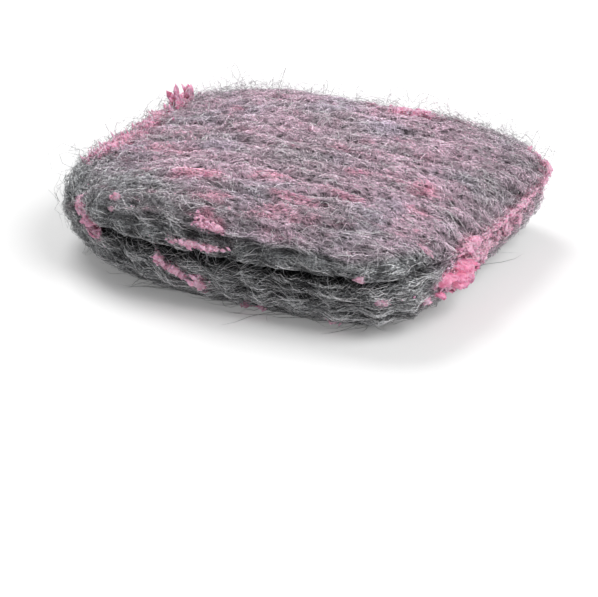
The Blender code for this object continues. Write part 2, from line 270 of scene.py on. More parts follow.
# Pink spots on the sides: bearing, climb, half width and half height in degrees, and strength
SIDE_SPOTS = (
    (243.2, 27.0, 1.1, 2.6, 1.0),
    (248.5, 36.0, 1.3, 2.2, 0.6),
    (229.0, 12.0, 3.2, 7.0, 0.8),
    (235.5, -2.0, 3.0, 5.0, 0.7),
    (348.0, -8.0, 14.0, 17.0, 1.15),
    (14.0, -6.0, 16.0, 15.0, 1.0),
    (33.0, 2.0, 5.0, 9.0, 1.1),
    (158.0, 22.0, 10.0, 6.0, 0.95),
    (184.0, 24.0, 9.0, 5.0, 0.8),
    (325.5, 25.0, 2.2, 4.5, 1.0),
)

# Spots on the top with little soap: middle and half width in millimetres
BARE_SPOTS = (
    (1.5, -28.0, 3.0),
    (7.0, -28.5, 2.5),
    (27.0, 27.5, 4.0),
    (33.0, 7.0, 4.0),
    (4.0, -3.0, 6.0),
)

# Horns of soap at the back left: bearing, spread of bearing, how many points make one, and the
# longest
HORNS = ((143.2, 0.16, 10, 0.0052), (138.9, 0.42, 26, 0.0042), (148.0, 0.5, 8, 0.0022))
HORN_WIDTHS = (0.0008, 0.0017)
HORN_LEAN = 0.16

# Points of soap along the left-hand rim: how many to a degree of a crust's half width, lengths,
# widths and lean
RIM_TUFTS = 38
RIM_TUFT_LENGTHS = (0.0004, 0.0015)
RIM_TUFT_WIDTHS = (0.00020, 0.00050)
RIM_TUFT_LEAN = 0.45

# How fine the materials' patterns are, in cells to a metre
COOL_PATCHES = 75.0
FIBRE_MOTTLE = 2400.0
WOOL_PORES = 1500.0
SOAP_MOTTLE = 1300.0

# Camera: where it stands about the pad, and how far below and beside the pad it looks
CAMERA_AZIMUTH = 27.1
CAMERA_ELEVATION = 21.9
CAMERA_DISTANCE = 0.4106
CAMERA_LENS = 146.5
AIM_RIGHT = 0.0018
AIM_BELOW = 0.0169
LOOK_HEIGHT = 0.0088

# Stage: where the lamps stand at the back left and at the right, their size, and half the floor
LEFT_LAMP = (-0.30, 0.22, 0.50)
RIGHT_LAMP = (0.40, -0.06, 0.42)
LAMP_SIZE = 0.4
FLOOR_HALF = 3.0
WHITE = (1.0, 1.0, 1.0, 1.0)

# What every colour among the settings below has in common
COLOUR = {"size": 4, "subtype": "COLOR", "min": 0.0, "max": 1.0}


def smooth_step(value):
    """Ease from 0 to 1 with a level start and end: 3t squared less 2t cubed."""
    value = np.clip(value, 0.0, 1.0)
    return value * value * (3.0 - 2.0 * value)


def angle_from(middle, bearing):
    """The angle in degrees from one bearing to another, the shortest way round."""
    return (bearing - middle + 180.0) % 360.0 - 180.0


def bump(value, centre, spread):
    """A bell of height 1 over an angle in degrees, the shortest way round."""
    return np.exp(-(angle_from(centre, value) / spread) ** 2)


@functools.lru_cache(maxsize=None)
def noise_table(seed):
    """Random values on a cube of lattice points, for one kind of noise."""
    return np.random.default_rng(seed).random(32 ** 3)


def noise(points, seed):
    """Smooth noise from 0 to 1: random lattice values, eased between the eight corners."""
    table = noise_table(seed)
    cell = np.floor(points).astype(np.int64)
    share = points - cell
    share = share * share * (3.0 - 2.0 * share)
    total = np.zeros(points.shape[:-1])
    for corner in range(8):
        step = np.array([corner & 1, (corner >> 1) & 1, (corner >> 2) & 1])
        place = (cell + step) % 32
        index = (place[..., 0] * 32 + place[..., 1]) * 32 + place[..., 2]
        weight = np.prod(np.where(step == 1, share, 1.0 - share), axis=-1)
        total += weight * table[index]
    return total


def layered_noise(points, seed, octaves=3):
    """Noise added up at doubled scales and halved strengths, from 0 to 1."""
    total = np.zeros(points.shape[:-1])
    for octave in range(octaves):
        total += noise(points * 2.0 ** octave, seed + octave) * 0.5 ** octave
    return total / (2.0 - 0.5 ** (octaves - 1))


def unit(vectors):
    """Vectors scaled to length one."""
    return vectors / np.maximum(np.linalg.norm(vectors, axis=-1, keepdims=True), 1e-12)


def outline(bearing):
    """The plan at a bearing, from -1 to 1 each way: a rounded rectangle with two cut corners."""
    turn = np.radians(bearing)
    across, along = np.cos(turn), np.sin(turn)
    power = PLAN_SQUARENESS
    reach = (np.abs(across) ** power + np.abs(along) ** power) ** (-1.0 / power)
    x, y = across * reach, along * reach
    for side, cut in ((-1.0, FRONT_LEFT_CUT), (1.0, FRONT_RIGHT_CUT)):
        corner = np.clip(x * side, 0.0, 1.0) ** 2 * np.clip(-y, 0.0, 1.0) ** 2
        x, y = x * (1.0 - cut * corner), y * (1.0 - cut * corner)
    return x, y


def outward(bearing):
    """The level direction straight out of the side: the slope of the superellipse."""
    x, y = outline(bearing)
    power = PLAN_SQUARENESS - 1.0
    out_x = np.sign(x) * np.abs(x) ** power / PAD_LENGTH
    out_y = np.sign(y) * np.abs(y) ** power / PAD_WIDTH
    length = np.hypot(out_x, out_y)
    return out_x / length, out_y / length


def end_shares(bearing):
    """How much a bearing belongs to the right-hand end and to the left-hand end, 0 to 1."""
    turn = np.radians(bearing)
    right = smooth_step((np.cos(turn) - END_START) / END_SPAN)
    left = smooth_step((-np.cos(turn) - END_START) / END_SPAN)
    return right, left


def section_power(bearing, above):
    """The squareness of the section at a bearing, above the fold line or below it."""
    right, left = end_shares(bearing)
    upper = SHOULDER_SQUARENESS + (RIGHT_SQUARENESS - SHOULDER_SQUARENESS) * right
    upper = upper + (LEFT_SQUARENESS - SHOULDER_SQUARENESS) * left
    return np.where(above, upper, UNDERSIDE_SQUARENESS)


def crown_rise(sideways):
    """The height of the top over the fold line: it sags a little towards each end."""
    sag = RIGHT_SAG * smooth_step(sideways) + LEFT_SAG * smooth_step(-sideways)
    return CROWN_RISE - sag


def pad_point(bearing, climb):
    """The pad's full form: a superellipse in plan and in section, cut flat at the floor."""
    power = section_power(bearing, climb >= 0.0)
    level, rise = np.cos(np.radians(climb)), np.sin(np.radians(climb))
    reach = (np.abs(level) ** power + np.abs(rise) ** power) ** (-1.0 / power)
    level, rise = level * reach, rise * reach
    plan_x, plan_y = outline(bearing)
    out_x, out_y = outward(bearing)
    lip = LIP_REACH * end_shares(bearing)[0] * bump(climb, LIP_CLIMB, LIP_SPREAD)
    x = plan_x * level * PAD_LENGTH / 2.0 + out_x * lip
    y = plan_y * level * PAD_WIDTH / 2.0 + out_y * lip
    rising = rise * crown_rise(x / (PAD_LENGTH / 2.0))
    falling = rise * UNDERSIDE_BULGE * FOLD_HEIGHT
    z = np.maximum(FOLD_HEIGHT + np.where(rise >= 0.0, rising, falling), 0.0)
    return np.stack([x, y, z], axis=-1) + PAD_MIDDLE


def pad_normal(bearing, climb):
    """The direction straight out of the pad's full form, from small steps round and up it."""
    climb = np.clip(climb, -88.0, 88.0)
    step = 0.2
    round_it = pad_point(bearing + step, climb) - pad_point(bearing - step, climb)
    up_it = pad_point(bearing, climb + step) - pad_point(bearing, climb - step)
    return unit(np.cross(round_it, up_it))


def pad_place(points):
    """The bearing and climb of points near the pad: the form's own formula, turned round."""
    local = points - PAD_MIDDLE
    x, y = local[..., 0] / (PAD_LENGTH / 2.0), local[..., 1] / (PAD_WIDTH / 2.0)
    bearing = np.degrees(np.arctan2(y, x)) % 360.0
    plan_x, plan_y = outline(bearing)
    level = np.hypot(x, y) / np.hypot(plan_x, plan_y)
    height = local[..., 2] - FOLD_HEIGHT
    rise = np.where(height >= 0.0, height / crown_rise(x), height / (UNDERSIDE_BULGE * FOLD_HEIGHT))
    return bearing, np.degrees(np.arctan2(rise, level))


def base_climb():
    """The climb, below the fold line, at which the side meets the flat underside."""
    rise = 1.0 / UNDERSIDE_BULGE
    level = (1.0 - rise ** UNDERSIDE_SQUARENESS) ** (1.0 / UNDERSIDE_SQUARENESS)
    return -np.degrees(np.arctan2(rise, level))


def fold_climb(bearing, point):
    """The climb at which the fold's slit runs: 0, higher near one corner, gently wavering."""
    line = FOLD_RISE * bump(bearing, FOLD_RISE_BEARING, FOLD_RISE_SPREAD)
    return line + FOLD_WOBBLE * (2.0 * noise(point * [90.0, 90.0, 0.0], 11) - 1.0)


def fold_depth(bearing, climb, point):
    """How far the fold's slit goes in: full on the fold's line, nothing beside it."""
    turn = np.radians(bearing)
    depth = FRONT_FOLD_DEPTH * np.clip(-np.sin(turn), 0.0, 1.0) ** 2
    depth = depth + BACK_FOLD_DEPTH * np.clip(np.sin(turn), 0.0, 1.0) ** 2
    depth = depth + RIGHT_FOLD_DEPTH * np.clip(np.cos(turn), 0.0, 1.0) ** 2
    depth = depth + LEFT_FOLD_DEPTH * np.clip(-np.cos(turn), 0.0, 1.0) ** 2
    return depth * np.exp(-(np.abs(climb - fold_climb(bearing, point)) / FOLD_OPENING) ** 1.5)


def top_share(climb):
    """How much a climb belongs to the pad's top, where the gathers run, 0 to 1."""
    return smooth_step((climb - GATHER_START_CLIMB) / GATHER_SPAN_CLIMB)


def top_gathers(point):
    """Gathers along X, 0 to 1: a cosine across Y that sways, broken along X by a staggered sine."""
    sway = GATHER_SWAY * np.sin(2.0 * np.pi * point[..., 0] / GATHER_SWAY_LENGTH)
    ripple = 0.5 - 0.5 * np.cos(2.0 * np.pi * point[..., 1] / GATHER_PITCH + sway)
    stagger = TUFT_STAGGER * np.sin(2.0 * np.pi * point[..., 1] / TUFT_STAGGER_LENGTH)
    return ripple * (0.6 + 0.4 * np.sin(2.0 * np.pi * point[..., 0] / TUFT_LENGTH + stagger))


def side_tufts(bearing, climb):
    """Hollows between the tufts round the sides, 0 to 1: a cosine round the pad that leans."""
    turn = SIDE_TUFTS * np.radians(bearing) + SIDE_TUFT_LEAN * climb
    return (0.5 - 0.5 * np.cos(turn)) * smooth_step((climb - base_climb()) / 12.0)


def under_soap(bearing, climb):
    """Where soap mats the wool flat: 1 under each lump, falling to 0 beyond its rim."""
    cover = np.zeros(np.broadcast(bearing, climb).shape)
    for _, middle, high, half_width, half_height, slant, _ in LUMPS:
        across = angle_from(middle, bearing)
        up = (climb - high - slant * across) / half_height
        away = np.hypot(across / half_width, up)
        cover = np.maximum(cover, np.exp(-(away / 1.3) ** 4))
    return cover


def stretched_noise(point, length, width, bend_length, seed):
    """Noise from 0 to 1 that is stretched along X and bent by wider noise."""
    stretch = np.array([1.0 / length, 1.0 / width, 1.0 / width])
    bend = 1.5 * noise(point / bend_length, seed)[..., None] * np.array([0.0, 1.0, 1.0])
    return noise(point * stretch + bend, seed + 2)


def furrow_share(point):
    """Fine furrows along X, 0 to 1: stretched noise, eased so that it has level floors."""
    share = stretched_noise(point, FURROW_LENGTH, FURROW_WIDTH, FURROW_BEND, 35)
    return smooth_step(2.4 * share - 1.1)


def painted_gap_shade(point):
    """Painted shade in short gaps between tufts, 0 to 1: the peaks of finer stretched noise."""
    share = stretched_noise(point, GAP_LENGTH, GAP_WIDTH, GAP_BEND, 39)
    return smooth_step((share - 0.62) / 0.12)


def sink_depth(bearing, climb, point):
    """How far the wool sinks: the solid's gathers, tufts and layers, then finer tufts and furrows."""
    on_top = top_share(climb)
    layers = bump(climb, UPPER_LAYER_CLIMB, LAYER_SPREAD)
    layers = layers + bump(climb, LOWER_LAYER_CLIMB, LAYER_SPREAD)
    depth = GATHER_DEPTH * top_gathers(point) * on_top
    depth = depth + SIDE_TUFT_DEPTH * side_tufts(bearing, climb) * (1.0 - on_top)
    depth = depth * (1.0 - under_soap(bearing, climb))
    depth = depth + LAYER_DEPTH * layers * np.sin(np.radians(bearing)) ** 2
    tufts = layered_noise(point / TUFT_SIZE, 31)
    return depth + TUFT_DEPTH * tufts + FURROW_DEPTH * furrow_share(point)


def wool_point(bearing, climb):
    """The wool's skin and its outward direction: the full form, drawn in where it sinks."""
    point = pad_point(bearing, climb)
    normal = pad_normal(bearing, climb)
    local = point - PAD_MIDDLE
    skin = point - normal * sink_depth(bearing, climb, local)[..., None]
    out_x, out_y = outward(bearing)
    depth = fold_depth(bearing, climb, local)
    skin[..., 0] -= out_x * depth
    skin[..., 1] -= out_y * depth
    return skin, normal


def painted_shade_share(bearing, climb, point):
    """Painted shade where the wool lies low, 0 to 1: most in the furrows, less in the gathers; also in
    the fold's slit, between the side tufts and in short gaps on top.
    """
    local = point - PAD_MIDDLE
    on_top = top_share(climb)
    low = 0.28 * top_gathers(local) * on_top + 0.45 * side_tufts(bearing, climb) * (1.0 - on_top)
    slit = np.exp(-((climb - fold_climb(bearing, local)) / 4.5) ** 2)
    low = low + 0.6 * slit * np.clip(-np.sin(np.radians(bearing)), 0.0, 1.0) ** 2
    low = low + (0.75 - 0.35 * on_top) * furrow_share(local)
    return np.clip(low + 0.65 * on_top * painted_gap_shade(local), 0.0, 1.0)


def tint_share(bearing, climb, point):
    """How much soap film tints the wool, 0 to 1: the top and the right end, not the sides."""
    local = point - PAD_MIDDLE
    turn = np.radians(bearing)
    right = smooth_step((np.cos(turn) - np.where(np.sin(turn) < 0.0, 0.77, 0.50)) / 0.12)
    patchy = layered_noise(local * [120.0, 260.0, 260.0], 51)
    top = smooth_step((climb - 21.0 + 14.0 * (patchy - 0.5)) / 10.0)
    past_grey = (local[..., 0] - GREY_X) * GREY_ACROSS + (local[..., 1] - GREY_Y) * GREY_ALONG
    top = top * (0.16 + 0.84 * smooth_step((past_grey + 0.004 + 0.014 * (patchy - 0.5)) / 0.008))
    lip = right * smooth_step((climb + 34.0 + 20.0 * (patchy - 0.5)) / 12.0)
    bare = layered_noise(local * [90.0, 200.0, 200.0] + 40.0, 55)
    share = np.maximum(top, 0.9 * lip) * (1.0 - 0.3 * smooth_step((bare - 0.52) / 0.12))
    for middle_x, middle_y, wide in BARE_SPOTS:
        away = np.hypot(local[..., 0] - middle_x / 1000.0, local[..., 1] - middle_y / 1000.0)
        share = share * (1.0 - 0.45 * np.exp(-(away * 1000.0 / wide) ** 2))
    return np.clip(share, 0.0, 1.0)


def film_and_painted_light_share(bearing, climb, point):
    """How pale the wool is, 0 to 1: pale under the soap film, and with painted light up over the
    shoulders.
    """
    return np.maximum(tint_share(bearing, climb, point), 0.8 * smooth_step((climb - 2.0) / 16.0))


def rose_share(bearing, climb, point):
    """How strongly pink soap shows in the wool, 0 to 1: streaks on top, and round each crust."""
    local = (point - PAD_MIDDLE) * 1000.0
    x, y = local[..., 0], local[..., 1]
    streaks = layered_noise(local * [0.35, 1.0, 1.0], 61, 4)
    strength = 0.30 * smooth_step((climb - 24.0) / 10.0)
    for middle_x, middle_y, long, wide, most in SMEARS:
        away = ((x - middle_x) / long) ** 2 + ((y - middle_y) / wide) ** 2
        strength = np.maximum(strength, most * np.exp(-away))
    strength = strength * smooth_step((climb - 20.0) / 15.0)
    for middle, high, half_width, half_height, most in SIDE_SPOTS:
        across = angle_from(middle, bearing) / half_width
        away = np.hypot(across, (climb - high) / half_height)
        strength = np.maximum(strength, most * np.exp(-away ** 2))
    for _, middle, high, half_width, half_height, slant, _ in (CHUNK,) + CRUSTS:
        across = angle_from(middle, bearing) / half_width
        up = (climb - high) / half_height - slant * half_width * across / half_height
        strength = np.maximum(strength, 1.1 * np.exp(-(0.75 * np.hypot(across, up)) ** 4))
    return np.clip(smooth_step(3.2 * (streaks + 0.75 * strength - 0.78)), 0.0, 1.0)


def scatter(count, zone, dice):
    """Random places in a zone of the pad, as likely as the pad's area there."""
    middle, half, low, high = ZONES[zone]
    columns = middle + np.linspace(-half, half, 2 * SCATTER_COLUMNS + 1)
    bearing, climb = np.meshgrid(columns, np.arange(low, high, SCATTER_CLIMB))
    step = 0.5
    wide = pad_point(bearing + step, climb) - pad_point(bearing - step, climb)
    tall = pad_point(bearing, climb + step) - pad_point(bearing, climb - step)
    chance = np.linalg.norm(np.cross(wide, tall), axis=-1).ravel()
    pick = dice.choice(chance.size, count, p=chance / chance.sum())
    bearing = bearing.ravel()[pick] + dice.uniform(-0.5, 0.5, count) * half / SCATTER_COLUMNS
    climb = climb.ravel()[pick] + dice.uniform(0.0, SCATTER_CLIMB, count)
    return bearing % 360.0, climb


def flow(bearing, climb, point, normal):
    """The wool's grain: along X over the top and the right end, round the pad on the sides."""
    step = 0.5
    around = unit(pad_point(bearing + step, climb) - pad_point(bearing - step, climb))
    around = around * np.where(around[..., :1] < 0.0, -1.0, 1.0)
    start = 14.0 - 8.0 * end_shares(bearing)[0]
    over = smooth_step((climb - start) / 14.0)[..., None]
    heading = around * (1.0 - over) + np.array([1.0, 0.0, 0.0]) * over
    heading = unit(heading - normal * np.sum(heading * normal, axis=-1, keepdims=True))
    sideways = np.cross(normal, heading)
    local = (point - PAD_MIDDLE) * 1000.0
    turn = np.radians(44.0) * (noise(local / 13.0, 71) - 0.5)
    turn = turn + np.radians(40.0) * (noise(local / 4.5, 73) - 0.5)
    return heading * np.cos(turn)[..., None] + sideways * np.sin(turn)[..., None]


def walk(bearing, climb, steps, length, lift, turn, side):
    """Paths over the wool: from each start, small steps along the grain, turned by a given angle.

    lift is each path's height over the skin at every step, and turn its angle off the grain.
    side is 1 for a path that starts with the grain and -1 for one that starts against it.
    Returns the paths' points and outward directions, as arrays of paths by steps.
    """
    points = np.empty((bearing.size, steps, 3))
    normals = np.empty_like(points)
    stride = (length / (steps - 1))[:, None]
    walker = pad_point(bearing, climb)
    flat = climb < base_climb()
    for index in range(steps):
        bearing, climb = pad_place(walker)
        skin, normal = wool_point(bearing, climb)
        down = np.array([0.0, 0.0, -1.0])
        level = np.stack([walker[:, 0], walker[:, 1], np.zeros(walker.shape[0])], axis=-1)
        skin = np.where(flat[:, None], level, skin)
        normal = np.where(flat[:, None], down, normal)
        points[:, index] = skin + normal * lift[:, index, None]
        normals[:, index] = normal
        heading = flow(bearing, climb, walker, normal)
        if index > 0:
            side = np.where(np.sum(heading * last, axis=-1) < 0.0, -1.0, 1.0)
        heading = heading * side[:, None]
        last = heading
        sideways = np.cross(normal, heading)
        angle = turn[:, index, None]
        ground = np.where(flat[:, None], walker, pad_point(bearing, climb))
        walker = ground + (heading * np.cos(angle) + sideways * np.sin(angle)) * stride
    points[..., 2] = np.maximum(points[..., 2], LOWEST_WOOL)
    return points, normals


def clear_of_fold(paths, dice):
    """Which paths don't bridge the fold's slit; a few that do are let through."""
    bearing, climb = pad_place(paths)
    above = climb > fold_climb(bearing, paths - PAD_MIDDLE)
    bridging = above.any(axis=1) & ~above.all(axis=1)
    return ~bridging | (dice.random(len(paths)) < 0.5)


def wandering(count, steps, spread, dice):
    """Smooth random wanders along paths: two sine waves with random lengths and phases."""
    waves = 2
    along = np.linspace(0.0, 1.0, steps)[None, :]
    total = np.zeros((count, steps))
    for _ in range(waves):
        cycles = dice.uniform(0.4, 2.6, (count, 1))
        phase = dice.uniform(0.0, 2.0 * np.pi, (count, 1))
        size = dice.normal(0.0, spread / np.sqrt(waves), (count, 1))
        total += size * np.sin(2.0 * np.pi * cycles * along + phase)
    return total


def mesh_from_arrays(name, points, corners, counts):
    """A mesh from arrays of points, of the faces' corners in a row, and of corners per face."""
    mesh = bpy.data.meshes.new(name)
    mesh.vertices.add(len(points))
    mesh.vertices.foreach_set("co", np.asarray(points, np.float32).ravel())
    mesh.loops.add(len(corners))
    mesh.loops.foreach_set("vertex_index", np.asarray(corners, np.int32))
    mesh.polygons.add(len(counts))
    starts = np.concatenate([[0], np.cumsum(counts)[:-1]])
    mesh.polygons.foreach_set("loop_start", np.asarray(starts, np.int32))
    mesh.update(calc_edges=True)
    mesh.shade_smooth()
    return mesh


def add_point_values(mesh, name, values):
    """Keep one number for each point of a mesh, for a material to read."""
    layer = mesh.attributes.new(name, "FLOAT", "POINT")
    layer.data.foreach_set("value", np.asarray(values, np.float32).ravel())


def add_bake_map(mesh, places):
    """Keep a flat map named OFBake, one place for each face corner."""
    layer = mesh.uv_layers.new(name="OFBake")
    layer.uv.foreach_set("vector", np.asarray(places, np.float32).ravel())


def add_object(name, data):
    """Put a mesh, a lamp or a camera in the scene."""
    made = bpy.data.objects.new(name, data)
    bpy.context.scene.collection.objects.link(made)
    return made


def add_piece(name, mesh, material):
    """Put a mesh in the scene as a piece of the pad."""
    mesh.materials.append(material)
    piece = add_object(name, mesh)
    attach(piece, "root")
    return piece


def add_wool_values(mesh, points, soaped=1.0):
    """Keep how much film, pink soap and painted shade each point has, and return the points' places."""
    bearing, climb = pad_place(points)
    add_point_values(mesh, "film", soaped * tint_share(bearing, climb, points))
    add_point_values(mesh, "rose", soaped * rose_share(bearing, climb, points))
    add_point_values(mesh, "painted_shade", painted_shade_share(bearing, climb, points))
    return bearing, climb


def strand_faces(steps):
    """Faces of one strand: a point, rings of three and a point, with a flat map over them."""
    rings = steps - 2
    last = 3 * rings + 1
    corners, counts, places = [], [], []

    def place(step, side):
        return (step / (steps - 1), side / 3.0)

    for side in range(3):
        near, far = 1 + side, 1 + (side + 1) % 3
        corners += [0, far, near]
        places += [place(0, side + 0.5), place(1, side + 1), place(1, side)]
        counts.append(3)
    for ring in range(rings - 1):
        for side in range(3):
            first, second = 1 + 3 * ring + side, 1 + 3 * ring + (side + 1) % 3
            corners += [first, second, second + 3, first + 3]
            places += [place(ring + 1, side), place(ring + 1, side + 1),
                       place(ring + 2, side + 1), place(ring + 2, side)]
            counts.append(4)
    for side in range(3):
        near, far = 3 * rings - 2 + side, 3 * rings - 2 + (side + 1) % 3
        corners += [near, far, last]
        places += [place(steps - 2, side), place(steps - 2, side + 1), place(steps - 1, side + 0.5)]
        counts.append(3)
    return np.array(corners), np.array(counts), np.array(places)


def strands_mesh(name, paths, normals, width, shade, soaped=1.0):
    """Tapered three-sided strands along paths, flattened a little against the wool.

    soaped is how much of the wool's soap the strands take on.

    At each step a strand's ring is its path's point plus its half width times an outward and a
    sideways direction, at angles a third of a turn apart. The two end rings shrink to points.
    """
    count, steps, _ = paths.shape
    ahead = unit(np.gradient(paths, axis=1))
    up = unit(normals - ahead * np.sum(normals * ahead, axis=-1, keepdims=True))
    across = np.cross(up, ahead)
    along = np.linspace(0.0, 1.0, steps)
    taper = np.minimum(1.0, 3.2 * np.minimum(along, 1.0 - along) + 0.25)
    half = 0.5 * width[:, None, None] * taper[None, :, None]
    rings = []
    for side in range(3):
        angle = 2.0 * np.pi * side / 3.0 + 0.5 * np.pi
        rings.append(paths + half * (np.cos(angle) * across + 0.7 * np.sin(angle) * up))
    rings = np.stack(rings, axis=2)[:, 1:-1].reshape(count, -1, 3)
    points = np.concatenate([paths[:, :1], rings, paths[:, -1:]], axis=1)
    corners, counts, places = strand_faces(steps)
    per_strand = points.shape[1]
    offsets = np.arange(count)[:, None] * per_strand
    all_corners = (corners[None, :] + offsets).ravel()
    points = points.reshape(-1, 3)
    mesh = mesh_from_arrays(name, points, all_corners, np.tile(counts, count))
    add_wool_values(mesh, points, soaped)
    add_point_values(mesh, "shade", np.repeat(shade, per_strand))
    cells = int(np.ceil(np.sqrt(count)))
    origin = np.stack([np.arange(count) % cells, np.arange(count) // cells], axis=-1)
    spread = (origin[:, None, :] + 0.1 + 0.8 * places[None]) / cells
    add_bake_map(mesh, spread.reshape(-1, 2))
    return mesh


def tufts_mesh(name, bearing, climb, length, width, lean, dice):
    """Ragged points of dried soap: thick short strands that point out and up, and lean at random."""
    steps = 5
    along = np.linspace(0.0, 1.0, steps)[None, :, None]
    root, normal = wool_point(bearing, climb)
    heading = unit(0.7 * normal + [0.0, 0.0, 0.8] + lean[:, None] * dice.normal(0.0, 1.0, root.shape))
    bend = 0.7 * lean[:, None] * dice.normal(0.0, 1.0, root.shape)
    reach = length[:, None, None]
    paths = root[:, None] - 0.0004 * normal[:, None]
    paths = paths + reach * (along * heading[:, None] + along ** 2 * bend[:, None])
    normals = unit(np.broadcast_to(dice.normal(0.0, 1.0, root.shape)[:, None], paths.shape))
    return strands_mesh(name, paths, normals, width, dice.random(bearing.size))


def body_rows():
    """Climbs of the body's rows from the rim of the underside up, closer at the fold line."""
    foot = base_climb()
    under = np.linspace(foot, CLOSE_ROWS_FROM, ROWS_UNDER_FOLD, endpoint=False)
    close = np.linspace(CLOSE_ROWS_FROM, CLOSE_ROWS_TO, ROWS_AT_FOLD, endpoint=False)
    over = np.linspace(0.0, 1.0, ROWS_OVER_FOLD) ** 0.85
    return np.concatenate([under, close, CLOSE_ROWS_TO + (TOP_ROW - CLOSE_ROWS_TO) * over])


def body_map(columns, count):
    """The body's flat map: bearing across and ring up, with a row of tips below and above."""
    left = np.arange(columns) / columns
    right, tip = left + 1.0 / columns, left + 0.5 / columns
    heights = np.linspace(0.02, 0.98, count)
    low, high = heights[:-1, None], heights[1:, None]
    first = ((tip, 0.0), (right, heights[0]), (left, heights[0]))
    rings = ((left, low), (right, low), (right, high), (left, high))
    last = ((left, heights[-1]), (right, heights[-1]), (tip, 1.0))
    places = []
    for corners in (first, rings, last):
        pairs = [np.stack(np.broadcast_arrays(across, up), axis=-1) for across, up in corners]
        places.append(np.stack(pairs, axis=-2).reshape(-1, 2))
    return np.concatenate(places)


def body_mesh(columns):
    """The wool's body: rings of the skin, drawn in a little, closed by rings of the underside."""
    bearing = np.arange(columns) * 360.0 / columns
    climbs = body_rows()[:, None]
    skin, normal = wool_point(np.broadcast_to(bearing, (climbs.size, columns)), climbs + 0.0 * bearing)
    skin = skin - normal * BODY_INSET
    skin[..., 2] = np.maximum(skin[..., 2], BODY_INSET)
    rim = skin[0]
    middle = np.array([PAD_MIDDLE[0], PAD_MIDDLE[1], BODY_INSET])
    inner = [middle + (rim - middle) * share for share in np.linspace(0.05, 0.95, UNDERSIDE_RINGS)]
    rings = np.concatenate([inner, skin])
    crown = skin[-1].mean(axis=0)
    points = np.concatenate([[middle], rings.reshape(-1, 3), [crown]])
    here = np.arange(columns)
    there = (here + 1) % columns
    count = len(rings)
    grid = 1 + columns * np.arange(count - 1)[:, None, None]
    quads = grid + np.stack([here, there, there + columns, here + columns], axis=-1)[None]
    first = np.stack([np.zeros(columns, int), there + 1, here + 1], axis=-1)
    top = 1 + columns * (count - 1)
    last = np.stack([here + top, there + top, np.full(columns, len(points) - 1)], axis=-1)
    corners = np.concatenate([first.ravel(), quads.ravel(), last.ravel()])
    counts = np.concatenate([np.full(columns, 3), np.full(quads.size // 4, 4), np.full(columns, 3)])
    mesh = mesh_from_arrays("wool_body", points, corners, counts)
    bearing, climb = add_wool_values(mesh, points)
    add_point_values(mesh, "pale", film_and_painted_light_share(bearing, climb, points))
    add_bake_map(mesh, body_map(columns, count))
    return mesh


def set_sockets(node, **sockets):
    """Set a shader node's sockets, which are named by words with _ for spaces."""
    for name, value in sockets.items():
        node.inputs[name.replace("_", " ")].default_value = value


def add_node(tree, kind, **sockets):
    """Add a shader node and set some of its sockets."""
    made = tree.nodes.new(kind)
    set_sockets(made, **sockets)
    return made


def new_material(name):
    """A material with an empty node tree but for its output and Principled shader."""
    material = bpy.data.materials.new(name)
    material.use_nodes = True
    tree = material.node_tree
    return material, tree, tree.nodes["Principled BSDF"]


def value_of(tree, name):
    """The number that a mesh keeps for each point under a name."""
    made = tree.nodes.new("ShaderNodeAttribute")
    made.attribute_name = name
    return made.outputs["Fac"]


def mix_colour(tree, share, first, second, blend="MIX"):
    """A colour between two, each a socket or a fixed colour."""
    made = tree.nodes.new("ShaderNodeMix")
    made.data_type = "RGBA"
    made.blend_type = blend
    for socket, value in ((made.inputs[0], share), (made.inputs[6], first), (made.inputs[7], second)):
        if isinstance(value, bpy.types.NodeSocket):
            tree.links.new(value, socket)
        else:
            socket.default_value = value
    return made.outputs[2]


def remap(tree, source, low, high, to_low, to_high):
    """A number's range mapped to another, clamped."""
    made = add_node(tree, "ShaderNodeMapRange",
                    From_Min=low, From_Max=high, To_Min=to_low, To_Max=to_high)
    tree.links.new(source, made.inputs["Value"])
    return made.outputs["Result"]


def times(tree, *sources):
    """The product of some numbers."""
    total = sources[0]
    for source in sources[1:]:
        made = tree.nodes.new("ShaderNodeMath")
        made.operation = "MULTIPLY"
        tree.links.new(total, made.inputs[0])
        tree.links.new(source, made.inputs[1])
        total = made.outputs[0]
    return total


def grey_colour(tree, source):
    """A grey of a number's strength."""
    made = tree.nodes.new("ShaderNodeCombineColor")
    for channel in ("Red", "Green", "Blue"):
        tree.links.new(source, made.inputs[channel])
    return made.outputs[0]


def pattern(tree, scale, detail=3.0, rough=0.6, stretch=(1.0, 1.0, 1.0)):
    """Noise over the piece's own coordinates, stretched by a vector and scaled, from 0 to 1."""
    place = tree.nodes.new("ShaderNodeTexCoord")
    shape = tree.nodes.new("ShaderNodeMapping")
    shape.inputs["Scale"].default_value = stretch
    grain = add_node(tree, "ShaderNodeTexNoise", Scale=scale, Detail=detail, Roughness=rough)
    tree.links.new(place.outputs["Object"], shape.inputs["Vector"])
    tree.links.new(shape.outputs["Vector"], grain.inputs["Vector"])
    return grain.outputs["Fac"]


def add_relief(tree, shader, height, strength, distance):
    """Let a pattern raise and lower the surface in the light."""
    relief = add_node(tree, "ShaderNodeBump", Strength=strength, Distance=distance)
    tree.links.new(height, relief.inputs["Height"])
    tree.links.new(relief.outputs["Normal"], shader.inputs["Normal"])


def wool_colour(tree, settings):
    """Bare steel, tinted by the soap film and by pink soap where the mesh says so.

    The film is cooler in wide patches, which slow noise over the pad gives.
    """
    cool = remap(tree, pattern(tree, COOL_PATCHES, 2.0), 0.50, 0.66, 0.0, 0.55)
    film = mix_colour(tree, cool, tuple(settings.film), tuple(settings.cool_film))
    tinted = mix_colour(tree, value_of(tree, "film"), tuple(settings.steel), film)
    return mix_colour(tree, value_of(tree, "rose"), tinted, tuple(settings.rose))


